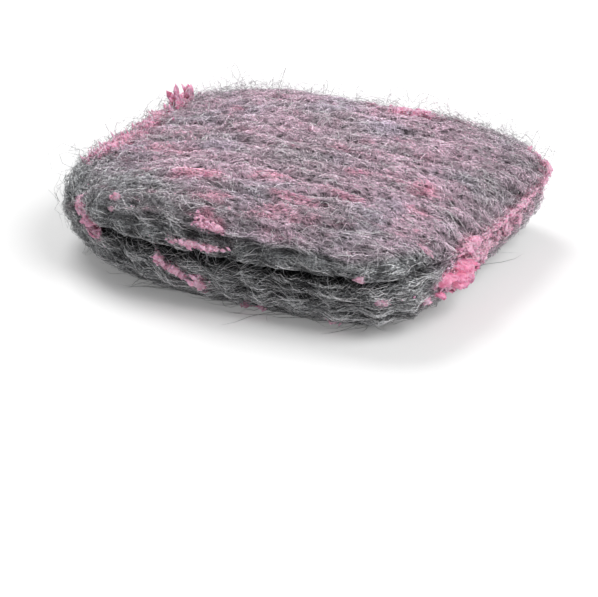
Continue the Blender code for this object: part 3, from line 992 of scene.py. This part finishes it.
def fibre_material(settings):
    """Drawn steel fibre: each strand its own shade, satin, duller where the soap coats it; painted light
    and shade by how low the wool lies, and a painted glint on some strands.
    """
    material, tree, shader = new_material("steel_fibre")
    colour = wool_colour(tree, settings)
    shade = remap(tree, value_of(tree, "shade"), 0.0, 0.8, 0.20, 1.50)
    mottle = remap(tree, pattern(tree, FIBRE_MOTTLE), 0.36, 0.64, 0.35, 1.55)
    # Painted light and shade: a little lighter where the wool stands up, darker where it lies low
    lit = remap(tree, value_of(tree, "painted_shade"), 0.0, 1.0, 1.20, 0.30)
    tone_and_painted_shade = mix_colour(tree, 1.0, colour, grey_colour(tree, times(tree, shade, mottle, lit)), "MULTIPLY")
    painted_glint = remap(tree, value_of(tree, "shade"), *GLINT_SHADES, 0.0, 1.0)
    shown = mix_colour(tree, painted_glint, tone_and_painted_shade, PAINTED_GLINT)
    tree.links.new(shown, shader.inputs["Base Color"])
    bare = remap(tree, value_of(tree, "film"), 0.0, 1.0, 0.85, 0.10)
    # A painted glint also makes a strand less metallic, so that it shows near white
    plain = remap(tree, value_of(tree, "shade"), *GLINT_SHADES, 1.0, 0.35)
    tree.links.new(times(tree, bare, plain), shader.inputs["Metallic"])
    set_sockets(shader, Roughness=0.3)
    return material


def body_material(settings):
    """The wool under the loose fibres: the same tints, darker as painted shade, with fine pores painted
    dark as shade and a grain.
    """
    material, tree, shader = new_material("packed_wool")
    grain = pattern(tree, WOOL_PORES, 4.0, 0.7, (0.5, 1.0, 1.0))
    # Painted shade: near-black pores, near black where the wool is bare, pale under the film and with the
    # painted light higher up, and painted light and shade by how low the wool lies
    pores = remap(tree, grain, 0.40, 0.60, 0.03, 1.05)
    film_and_painted_shading = remap(tree, value_of(tree, "pale"), 0.0, 1.0, 0.03, 0.95)
    lit = remap(tree, value_of(tree, "painted_shade"), 0.0, 1.0, 1.1, 0.35)
    dark = grey_colour(tree, times(tree, pores, film_and_painted_shading, lit))
    shown = mix_colour(tree, 1.0, wool_colour(tree, settings), dark, "MULTIPLY")
    tree.links.new(shown, shader.inputs["Base Color"])
    set_sockets(shader, Roughness=0.6)
    add_relief(tree, shader, grain, 1.0, 0.0005)
    return material


def soap_material(settings):
    """Dried soap: mottled pink, paler where it is thin, crumbly and matt; painted shade makes it deeper
    in its hollows and near black down in its holes.
    """
    material, tree, shader = new_material("dried_soap")
    mottle = pattern(tree, SOAP_MOTTLE, 4.0, 0.65)
    share = remap(tree, mottle, 0.33, 0.56, 0.0, 1.0)
    # Painted shade: pits and low spots, which the mesh marks as pitted, take the deeper pink
    raised = remap(tree, value_of(tree, "pitted"), 0.0, 0.8, 1.0, 0.0)
    thick = mix_colour(tree, times(tree, share, raised), tuple(settings.deep), tuple(settings.pale))
    faded = mix_colour(tree, share, tuple(settings.thin_deep), tuple(settings.thin_pale))
    skin = mix_colour(tree, value_of(tree, "thin"), thick, faded)
    # Painted shade: near black down in the holes
    inside = remap(tree, value_of(tree, "pitted"), 0.55, 0.95, 0.0, 1.0)
    colour = mix_colour(tree, inside, skin, tuple(settings.hole_shade))
    tree.links.new(colour, shader.inputs["Base Color"])
    set_sockets(shader, Roughness=0.5, Subsurface_Weight=settings.glow,
                Subsurface_Radius=(1.0, 0.35, 0.5), Subsurface_Scale=settings.glow_depth)
    add_relief(tree, shader, mottle, 0.8, 0.0003)
    return material


def lump_holes(across, up, local):
    """The corner lump's holes, 0 to 1: ovals at given shares of its sizes, with uneven rims."""
    depth = np.zeros(across.shape)
    uneven = layered_noise(local * 2.2, 83, 2) - 0.5
    for middle, high, half_width, half_height in HOLES:
        away = np.hypot((across - middle) / half_width, (up - high) / half_height) + uneven
        depth = np.maximum(depth, smooth_step(2.2 * (1.25 - away)))
    return depth


def patch_grid(spec, cell):
    """Across and up shares of a crust's grid, out to the margin, at about a cell's spacing."""
    _, bearing, climb, half_width, half_height, _, _ = spec
    ends = np.array([-1.0, 1.0])
    side = pad_point(bearing + half_width * ends, np.array([climb, climb]))
    rise = pad_point(np.array([bearing, bearing]), climb + half_height * ends)
    shares = []
    for ends_at in (side, rise):
        count = int(PATCH_MARGIN * np.linalg.norm(ends_at[1] - ends_at[0]) / cell) + 6
        shares.append(np.linspace(-PATCH_MARGIN, PATCH_MARGIN, count))
    return np.meshgrid(*shares)


def patch_cover(across, up, solid, ragged):
    """How fully a crust covers its patch, 0 to 1: less away from the middle, ragged at the rim."""
    away = (np.abs(across) ** 2.5 + np.abs(up) ** 2.5) ** (1.0 / 2.5)
    cover = smooth_step(3.4 * (solid * (1.0 - away) + 2.6 * ragged) + 0.15)
    return cover * smooth_step((PATCH_MARGIN - np.maximum(np.abs(across), np.abs(up))) / 0.15)


def patch_faces(rows, columns):
    """A grid's faces, and a fan from its rim to one last point: corners in a row, and counts."""
    index = np.arange(rows * columns).reshape(rows, columns)
    quads = np.stack([index[:-1, :-1], index[:-1, 1:], index[1:, 1:], index[1:, :-1]], axis=-1)
    rim = np.concatenate([index[0, :-1], index[:-1, -1], index[-1, :0:-1], index[:0:-1, 0]])
    fan = np.stack([np.roll(rim, -1), rim, np.full(rim.size, rows * columns)], axis=-1)
    corners = np.concatenate([quads.ravel(), fan.ravel()])
    return corners, np.concatenate([np.full(quads.size // 4, 4), np.full(rim.size, 3)])


def crust_mesh(spec, settings):
    """A dried lump on the wool: a ragged patch of the pad's form, swollen, lumpy and pitted.

    The patch is a grid over the lump's half sizes, bent over the form. Its height is the
    thickness times its cover, times lumps, less deep pits. Where the cover is low the patch
    dives under the fibres, and a fan closes it inside the wool.
    """
    name, bearing, climb, half_width, half_height, slant, thickness = spec
    whole = thickness > settings.solid_from
    solid = 1.0 if whole else 0.90 - 0.0013 * half_width / np.sqrt(thickness)
    rim_scale, lump_scale, octaves, swell, cell = SOLID_LUMP if whole else POROUS_CRUST
    seed = sum(ord(letter) for letter in name)
    across, up = patch_grid(spec, cell * settings.grain)
    bearings = bearing + half_width * across
    climbs = climb + half_height * up + slant * half_width * across
    form, normals = pad_point(bearings, climbs), pad_normal(bearings, climbs)
    local = form - PAD_MIDDLE
    form = form - normals * (0.8 * sink_depth(bearings, climbs, local))[..., None]
    local = local * 1000.0
    cover = patch_cover(across, up, solid, layered_noise(local * rim_scale, seed, octaves) - 0.5)
    lumps = layered_noise(local * lump_scale, seed + 7, octaves)
    strings = 1.0 - np.abs(2.0 * layered_noise(local * 2.0, seed + 14, 3) - 1.0) * 2.6
    if spec is CHUNK:
        pits = lump_holes(across, up, local)
    else:
        pits = smooth_step((layered_noise(local * 1.1, seed + 21, 2) - 0.56) / 0.05)
    high = min(thickness, settings.most_height) * (0.1 + 0.95 * lumps + 0.3 * np.clip(strings, 0.0, 1.0))
    high = high * swell
    height = cover * high - settings.root_depth * (1.0 - cover)
    sunk = 0.4 * high if whole else 0.8 * thickness + 0.4 * settings.root_depth
    height = height - cover * pits * sunk
    skin = form + normals * height[..., None]
    middle = np.array(bearing), np.array(climb)
    hub = pad_point(*middle) - pad_normal(*middle) * 3.5 * settings.root_depth
    points = np.concatenate([skin.reshape(-1, 3), [hub]])
    mesh = mesh_from_arrays(name.replace("soap_", "dried_"), points, *patch_faces(*across.shape))
    # pitted marks the pits and low spots, where the soap material paints shade
    pitted = np.maximum(pits, 0.55 * np.clip(1.2 - 1.9 * lumps, 0.0, 1.0))
    add_point_values(mesh, "pitted", np.append(pitted.ravel(), 1.0))
    thin = np.clip(1.2 - high / settings.thick_from, 0.0, 1.0)
    add_point_values(mesh, "thin", np.append(thin.ravel(), 1.0))
    return mesh


def crumb_shape():
    """An eight-faced crumb: a corner each way along each axis, joined to its neighbours."""
    corners = np.array([(1, 0, 0), (0, 1, 0), (-1, 0, 0), (0, -1, 0), (0, 0, 1), (0, 0, -1)], float)
    faces = [(side, (side + 1) % 4, 4) for side in range(4)]
    faces += [((side + 1) % 4, side, 5) for side in range(4)]
    return corners, np.array(faces)


def crumbs_mesh(name, bearing, climb, lift, size, stretch, thin, dice):
    """Small soap crumbs: one eight-faced shape, repeated, turned, stretched and made uneven.

    lift is each crumb's height over the skin, and thin how pale their soap is, 0 to 1.
    """
    corners, faces = crumb_shape()
    skin, normal = wool_point(bearing, climb)
    ahead = flow(bearing, climb, skin, normal)
    ahead = unit(ahead + dice.normal(0.0, 0.35, skin.shape))
    across = unit(np.cross(normal, ahead))
    up = np.cross(ahead, across)
    rough = dice.uniform(0.55, 1.45, (bearing.size, len(corners), 1))
    local = corners[None] * rough * size[:, None, None]
    points = (skin + normal * lift[:, None])[:, None]
    points = points + local[..., :1] * ahead[:, None] * stretch[:, None, None]
    points = points + local[..., 1:2] * across[:, None] + 0.8 * local[..., 2:] * up[:, None]
    all_faces = faces[None] + len(corners) * np.arange(bearing.size)[:, None, None]
    mesh = mesh_from_arrays(name, points.reshape(-1, 3), all_faces.ravel(),
                            np.full(all_faces.size // 3, 3))
    mesh.shade_flat()
    add_point_values(mesh, "thin", np.full(points.size // 3, thin))
    return mesh


def strewn(middle, high, half_width, half_height, slant, spread, count, dice):
    """Random bearings and climbs round a spot, fewer away from its middle."""
    across, up = dice.normal(0.0, spread, count), dice.normal(0.0, spread, count)
    return middle + half_width * across, high + half_height * up + slant * half_width * across


def crumbs_round_crusts(settings, dice):
    """Crumbs strewn over and round each crust, thinning out away from its middle."""
    places, size = [], []
    for _, middle, high, half_width, half_height, slant, _ in LUMPS:
        count = int(24 + min(9.0 * half_width * half_height, 150.0))
        places.append(strewn(middle, high, half_width, half_height, slant, 0.65, count, dice))
        size.append(0.6 * settings.crumb_size * dice.gamma(2.0, 0.5, count))
    bearing, climb = np.concatenate(places, axis=1)
    size = np.concatenate(size)
    lift = dice.uniform(-0.0001, 0.0006, bearing.size)
    stretch = dice.uniform(1.0, 2.0, bearing.size)
    return crumbs_mesh("soap_crumbs", bearing, climb, lift, size, stretch, 0.6, dice)


def crumbs_in_smears(settings, dice):
    """Crumbs caught in the wool, in and near the pink smears of the top and spots of the sides."""
    places = []
    for middle_x, middle_y, long, wide, most in SMEARS:
        count = int(80 + 4.5 * long * wide * most)
        spots = dice.normal(0.0, 0.55, (count, 2)) * [long, wide] + [middle_x, middle_y]
        places.append(np.column_stack([spots, np.full(count, 18.0)]))
    bearing, climb = pad_place(np.concatenate(places) / 1000.0 + PAD_MIDDLE)
    for middle, high, half_width, half_height, most in SIDE_SPOTS:
        count = int(60 + 5.0 * half_width * half_height * most)
        spot = strewn(middle, high, half_width, half_height, 0.0, 0.55, count, dice)
        bearing, climb = np.append(bearing, spot[0]), np.append(climb, spot[1])
    skin = pad_point(bearing, climb)
    shown = rose_share(bearing, climb, skin) > dice.uniform(0.1, 0.9, bearing.size)
    bearing, climb = bearing[shown], climb[shown]
    size = 0.45 * settings.crumb_size * dice.gamma(2.5, 0.4, bearing.size)
    lift = dice.uniform(-0.0001, 0.0003, bearing.size)
    stretch = dice.uniform(1.5, 3.5, bearing.size)
    return crumbs_mesh("soap_smears", bearing, climb, lift, size, stretch, 0.8, dice)


def rim_tufts(dice):
    """Ragged points of soap along the left-hand rim, with two horns at the back left."""
    bearing, climb, length, width, lean = [], [], [], [], []
    for _, middle, high, half_width, half_height, slant, _ in RIM_CRUSTS:
        count = int(RIM_TUFTS * half_width)
        across, up = dice.uniform(-1.15, 1.15, count), dice.normal(0.0, 0.5, count)
        bearing.append(middle + half_width * across)
        climb.append(high - 9.0 * dice.random(count) + half_height * up + slant * half_width * across)
        length.append(dice.uniform(*RIM_TUFT_LENGTHS, count))
        width.append(dice.uniform(*RIM_TUFT_WIDTHS, count))
        lean.append(np.full(count, RIM_TUFT_LEAN))
    for middle, spread, count, most in HORNS:
        bearing.append(middle + dice.normal(0.0, spread, count))
        climb.append(PEAK[2] + dice.normal(0.0, 1.2, count))
        length.append(most * dice.uniform(0.4, 1.0, count))
        width.append(dice.uniform(*HORN_WIDTHS, count))
        lean.append(np.full(count, HORN_LEAN))
    values = [np.concatenate(value) for value in (bearing, climb, length, width, lean)]
    mesh = tufts_mesh("soap_tufts", *values, dice)
    per_point = len(mesh.vertices) // values[0].size
    thin = np.where(values[4] > HORN_LEAN, 0.5, 0.0)
    add_point_values(mesh, "thin", np.repeat(thin, per_point))
    return mesh


class WoolSettings(bpy.types.PropertyGroup):
    """Sizes and colours of the steel wool."""

    fibre_width: bpy.props.FloatProperty(
        name="Fibre width", description="Width of one steel fibre", default=0.000088, unit="LENGTH")
    fibre_length: bpy.props.FloatProperty(
        name="Fibre length", description="Usual length of one fibre", default=0.010, unit="LENGTH")
    fibre_lift: bpy.props.FloatProperty(
        name="Fibre lift", description="How high the top fibres lie over the skin", default=0.00045,
        unit="LENGTH")
    fibre_depth: bpy.props.FloatProperty(
        name="Fibre depth", description="How deep the fibres' ends sit in the wool", default=0.0006,
        unit="LENGTH")
    hair_reach: bpy.props.FloatProperty(
        name="Hair reach", description="How far stray hairs stand off the pad", default=0.0032,
        unit="LENGTH")
    steel: bpy.props.FloatVectorProperty(
        name="Steel", description="Colour of bare fibres", default=(0.68, 0.69, 0.71, 1.0), **COLOUR)
    film: bpy.props.FloatVectorProperty(
        name="Soap film", description="Colour of fibres under a film of soap",
        default=(0.92, 0.69, 0.82, 1.0), **COLOUR)
    cool_film: bpy.props.FloatVectorProperty(
        name="Cool soap film", description="Colour of the film in its cooler patches",
        default=(0.74, 0.70, 0.84, 1.0), **COLOUR)
    rose: bpy.props.FloatVectorProperty(
        name="Rosy fibres", description="Colour of fibres caked with pink soap",
        default=(1.0, 0.53, 0.69, 1.0), **COLOUR)


class SoapSettings(bpy.types.PropertyGroup):
    """Sizes and colours of the dried soap."""

    root_depth: bpy.props.FloatProperty(
        name="Root depth", description="How deep a lump sits in the fibres", default=0.0006,
        unit="LENGTH")
    most_height: bpy.props.FloatProperty(
        name="Height", description="The most that a lump swells, its horns apart", default=0.0020,
        unit="LENGTH")
    solid_from: bpy.props.FloatProperty(
        name="Solid from", description="Lumps thicker than this are solid, not porous",
        default=0.0020, unit="LENGTH")
    thick_from: bpy.props.FloatProperty(
        name="Thick from", description="Height from which the soap shows its full colour",
        default=0.0009, unit="LENGTH")
    grain: bpy.props.FloatProperty(
        name="Grain", description="Spacing of the points over a lump", default=0.00018, unit="LENGTH")
    crumb_size: bpy.props.FloatProperty(
        name="Crumb size", description="Half width of a usual crumb", default=0.00024, unit="LENGTH")
    pale: bpy.props.FloatVectorProperty(
        name="Pale soap", description="Colour of the soap's dry skin", default=(1.0, 0.44, 0.62, 1.0),
        **COLOUR)
    # The deeper pink of the soap's mottle, also painted as shade in its low spots
    deep: bpy.props.FloatVectorProperty(
        name="Deep soap", description="Colour in the soap's hollows", default=(0.70, 0.17, 0.31, 1.0),
        **COLOUR)
    # Painted shade: the near-black colour put down in the soap's holes
    hole_shade: bpy.props.FloatVectorProperty(
        name="Soap hole", description="Colour down in the soap's holes", default=(0.17, 0.025, 0.06, 1.0),
        **COLOUR)
    glow: bpy.props.FloatProperty(
        name="Glow", description="Share of light that passes through the soap's skin", default=0.5)
    glow_depth: bpy.props.FloatProperty(
        name="Glow depth", description="How far light passes through the soap", default=0.0014,
        unit="LENGTH")
    thin_pale: bpy.props.FloatVectorProperty(
        name="Thin pale soap", description="Pale colour where the soap is thin",
        default=(1.0, 0.61, 0.76, 1.0), **COLOUR)
    thin_deep: bpy.props.FloatVectorProperty(
        name="Thin deep soap", description="Deep colour where the soap is thin",
        default=(0.70, 0.28, 0.42, 1.0), **COLOUR)


class StageSettings(bpy.types.PropertyGroup):
    """Floor, light and backdrop."""

    floor: bpy.props.FloatVectorProperty(
        name="Floor", description="Colour of the floor", default=(0.82, 0.82, 0.82, 1.0), **COLOUR)
    glow: bpy.props.FloatProperty(
        name="Glow", description="White added to the floor where the camera sees it", default=0.18)
    left_power: bpy.props.FloatProperty(
        name="Left power", description="Power of the lamp at the back left", default=2.4, unit="POWER")
    right_power: bpy.props.FloatProperty(
        name="Right power", description="Power of the lamp at the right", default=2.45, unit="POWER")
    sky: bpy.props.FloatProperty(
        name="Sky", description="Strength of the even light from all round", default=0.26)


def lie_on_wool(count, zone, steps, size, settings, dice):
    """Random fibres over a zone: their paths, outward directions, widths and shades.

    size is how long the fibres are, as a share of the usual length. Short fibres turn about
    more. Each fibre arches out of the wool and back, so that its ends are hidden.
    """
    bearing, climb = scatter(count, zone, dice)
    short = size < 0.5
    # pale is the soap film and the painted light up over the shoulders: pale wool gets fewer painted
    # glints and lighter shades
    pale = film_and_painted_light_share(bearing, climb, pad_point(bearing, climb))
    length = size * settings.fibre_length * dice.uniform(0.55, 1.45, count)
    along = np.linspace(0.0, 1.0, steps)[None, :]
    height = settings.fibre_lift * dice.uniform(-0.5, 0.6 if short else 1.0, (count, 1))
    lift = (height + settings.fibre_depth) * np.sin(np.pi * along) ** 0.6 - settings.fibre_depth
    lift = lift + 0.4 * settings.fibre_lift * wandering(count, steps, 0.5, dice)
    loose = SHORT_TURNS if short else 1.0
    crossing = dice.random((count, 1)) < CROSSING_SHARE
    most = np.where(crossing, CROSSING_TURN, GRAIN_TURN * loose)
    turn = np.radians(most) * dice.normal(0.0, 1.0, (count, 1))
    turn = turn + wandering(count, steps, np.radians(WANDER_TURN * loose), dice)
    side = np.where(dice.random(count) < 0.5, -1.0, 1.0)
    paths, normals = walk(bearing, climb, steps, length, lift, turn, side)
    kept = clear_of_fold(paths, dice)
    # Painted glints: some strands get a near-white shade, and are a little wider
    painted_glint = dice.random(count) < GLINT_SHARE - GLINT_LOST * pale
    dull = 0.85 * dice.beta(1.0 + pale, 3.8 - 1.9 * pale)
    shade = np.where(painted_glint, dice.uniform(0.84, 1.0, count), dull)
    width = settings.fibre_width * dice.uniform(0.6, 1.3, count) * np.where(painted_glint, 1.2, 1.0)
    return paths[kept], normals[kept], width[kept], shade[kept]


class WOOLPAD_OT_body(bpy.types.Operator):
    """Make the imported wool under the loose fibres"""

    bl_idname = "wool_pad.body"
    bl_label = "Packed wool"

    def execute(self, context):
        mesh = body_mesh(BODY_COLUMNS)
        piece = add_piece("wool_body", mesh, body_material(context.scene.wool_pad_wool))
        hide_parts("wool_pad")
        return {"FINISHED"}


class WOOLPAD_OT_fibres(bpy.types.Operator):
    """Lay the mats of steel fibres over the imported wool"""

    bl_idname = "wool_pad.fibres"
    bl_label = "Fibre mats"

    def execute(self, context):
        settings = context.scene.wool_pad_wool
        material = fibre_material(settings)
        for seed, (name, zone, count, steps, size) in enumerate(FIBRE_MATS, 101):
            dice = np.random.default_rng(seed)
            paths, normals, width, shade = lie_on_wool(count, zone, steps, size, settings, dice)
            add_piece(name, strands_mesh(name, paths, normals, width, shade), material)
        return {"FINISHED"}


class WOOLPAD_OT_hairs(bpy.types.Operator):
    """Let stray hairs and loops stand off the pad's edges"""

    bl_idname = "wool_pad.hairs"
    bl_label = "Stray hairs"

    def execute(self, context):
        settings = context.scene.wool_pad_wool
        dice = np.random.default_rng(201)
        places = [scatter(count, zone, dice) for count, zone in HAIRS]
        bearing, climb = (np.concatenate(values) for values in zip(*places))
        count = bearing.size
        length = dice.uniform(*HAIR_LENGTHS, count)
        along = np.linspace(0.0, 1.0, HAIR_STEPS)[None, :]
        ends_free = dice.random((count, 1)) < FREE_HAIR_SHARE
        reach = settings.hair_reach * dice.gamma(1.5, 0.28, (count, 1))
        reach = np.minimum(reach, FARTHEST_HAIR)
        reach = reach * np.where(climb < 0.0, 0.4, 1.0)[:, None]
        lift = reach * np.where(ends_free, along ** 1.4, np.sin(np.pi * along))
        lift = lift + 0.25 * reach * wandering(count, HAIR_STEPS, 0.5, dice)
        turn = np.radians(HAIR_TURN) * dice.normal(0.0, 1.0, (count, 1))
        turn = turn + wandering(count, HAIR_STEPS, np.radians(HAIR_WANDER), dice)
        side = np.where(dice.random(count) < 0.5, -1.0, 1.0)
        paths, normals = walk(bearing, climb, HAIR_STEPS, length, lift, turn, side)
        width = settings.fibre_width * dice.uniform(0.6, 1.0, count)
        shade = dice.uniform(0.2, 0.6, count)
        mesh = strands_mesh("stray_hairs", paths, normals, width, shade, HAIR_SOAP)
        add_piece("stray_hairs", mesh, bpy.data.materials["steel_fibre"])
        return {"FINISHED"}


class WOOLPAD_OT_soap(bpy.types.Operator):
    """Put the dried soap on the wool: the lumps, the flecks and the crumbs round them"""

    bl_idname = "wool_pad.soap"
    bl_label = "Dried soap"

    def execute(self, context):
        settings = context.scene.wool_pad_soap
        material = soap_material(settings)
        for spec in LUMPS:
            mesh = crust_mesh(spec, settings)
            piece = add_piece(mesh.name, mesh, material)
            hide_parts(spec[0])
        dice = np.random.default_rng(301)
        add_piece("soap_crumbs", crumbs_round_crusts(settings, dice), material)
        add_piece("soap_smears", crumbs_in_smears(settings, dice), material)
        add_piece("soap_tufts", rim_tufts(dice), material)
        return {"FINISHED"}


class WOOLPAD_OT_stage(bpy.types.Operator):
    """Set up the floor, the light and the camera"""

    bl_idname = "wool_pad.stage"
    bl_label = "Stage"

    def execute(self, context):
        settings = context.scene.wool_pad_stage
        make_floor(settings)
        make_light(settings)
        make_camera()
        context.scene.view_settings.view_transform = "Standard"
        return {"FINISHED"}


def make_floor(settings):
    """A plain pale floor, level with the pad's underside; a little white is added to its look."""
    mesh = bpy.data.meshes.new("floor")
    corners = np.array([(-1, -1, 0), (1, -1, 0), (1, 1, 0), (-1, 1, 0)]) * FLOOR_HALF
    mesh.from_pydata(corners.tolist(), [], [(0, 1, 2, 3)])
    material, tree, shader = new_material("floor")
    set_sockets(shader, Base_Color=tuple(settings.floor), Roughness=0.9, Emission_Color=WHITE)
    seen = tree.nodes.new("ShaderNodeLightPath")
    tree.links.new(remap(tree, seen.outputs["Is Camera Ray"], 0.0, 1.0, 0.0, settings.glow),
                   shader.inputs["Emission Strength"])
    mesh.materials.append(material)
    floor = add_object("floor", mesh)


def make_light(settings):
    """Even light from all round and two lamps, high at the back left and at the right."""
    world = bpy.data.worlds.new("studio")
    bpy.context.scene.world = world
    world.use_nodes = True
    tree = world.node_tree
    plain = tree.nodes["Background"]
    set_sockets(plain, Color=WHITE, Strength=settings.sky)
    white = add_node(tree, "ShaderNodeBackground", Color=WHITE, Strength=1.0)
    seen = tree.nodes.new("ShaderNodeLightPath")
    mix = tree.nodes.new("ShaderNodeMixShader")
    tree.links.new(seen.outputs["Is Camera Ray"], mix.inputs[0])
    tree.links.new(plain.outputs[0], mix.inputs[1])
    tree.links.new(white.outputs[0], mix.inputs[2])
    tree.links.new(mix.outputs[0], tree.nodes["World Output"].inputs["Surface"])
    for name, place, power in (("lamp_left", LEFT_LAMP, settings.left_power),
                               ("lamp_right", RIGHT_LAMP, settings.right_power)):
        lamp = bpy.data.lights.new(name, "AREA")
        lamp.shape = "DISK"
        lamp.size = LAMP_SIZE
        lamp.energy = power
        holder = add_object(name, lamp)
        holder.location = place
        holder.rotation_euler = (-holder.location).to_track_quat("-Z", "Y").to_euler()


def make_camera():
    """A long lens at the photograph's angle, aimed a little below and right of the pad."""
    turn, rise = np.radians(CAMERA_AZIMUTH), np.radians(CAMERA_ELEVATION)
    back = Vector((np.sin(turn) * np.cos(rise), -np.cos(turn) * np.cos(rise), np.sin(rise)))
    right = Vector((np.cos(turn), np.sin(turn), 0.0))
    look = Vector((PAD_MIDDLE[0], PAD_MIDDLE[1], LOOK_HEIGHT))
    camera = add_object("camera", bpy.data.cameras.new("camera"))
    camera.data.lens = CAMERA_LENS
    camera.data.clip_start = 0.01
    camera.location = look + back * CAMERA_DISTANCE
    aim = look + right * AIM_RIGHT - back.cross(right) * AIM_BELOW
    camera.rotation_euler = (aim - camera.location).to_track_quat("-Z", "Y").to_euler()
    bpy.context.scene.camera = camera


OPERATORS = (WOOLPAD_OT_body, WOOLPAD_OT_fibres, WOOLPAD_OT_hairs, WOOLPAD_OT_soap, WOOLPAD_OT_stage)


class WOOLPAD_PT_panel(bpy.types.Panel):
    """Buttons and settings for the pad's pieces"""

    bl_idname = "WOOLPAD_PT_panel"
    bl_label = "Steel wool pad"
    bl_space_type = "VIEW_3D"
    bl_region_type = "UI"
    bl_category = "Steel wool pad"

    def draw(self, context):
        column = self.layout.column()
        for operator in OPERATORS:
            column.operator(operator.bl_idname)
        for group in (context.scene.wool_pad_wool, context.scene.wool_pad_soap,
                      context.scene.wool_pad_stage):
            for name in group.bl_rna.properties.keys():
                if name not in ("rna_type", "name"):
                    column.prop(group, name)


CLASSES = (WoolSettings, SoapSettings, StageSettings) + OPERATORS + (WOOLPAD_PT_panel,)


def register():
    """Add the settings, the operators and the panel."""
    for item in CLASSES:
        bpy.utils.register_class(item)
    bpy.types.Scene.wool_pad_wool = bpy.props.PointerProperty(type=WoolSettings)
    bpy.types.Scene.wool_pad_soap = bpy.props.PointerProperty(type=SoapSettings)
    bpy.types.Scene.wool_pad_stage = bpy.props.PointerProperty(type=StageSettings)


def unregister():
    """Take the settings, the operators and the panel away."""
    del bpy.types.Scene.wool_pad_stage
    del bpy.types.Scene.wool_pad_soap
    del bpy.types.Scene.wool_pad_wool
    for item in reversed(CLASSES):
        bpy.utils.unregister_class(item)


def main():
    """Make every piece and the stage."""
    register()
    bpy.ops.wool_pad.body()
    bpy.ops.wool_pad.fibres()
    bpy.ops.wool_pad.hairs()
    bpy.ops.wool_pad.soap()
    bpy.ops.wool_pad.stage()


if __name__ == "__main__":
    main()
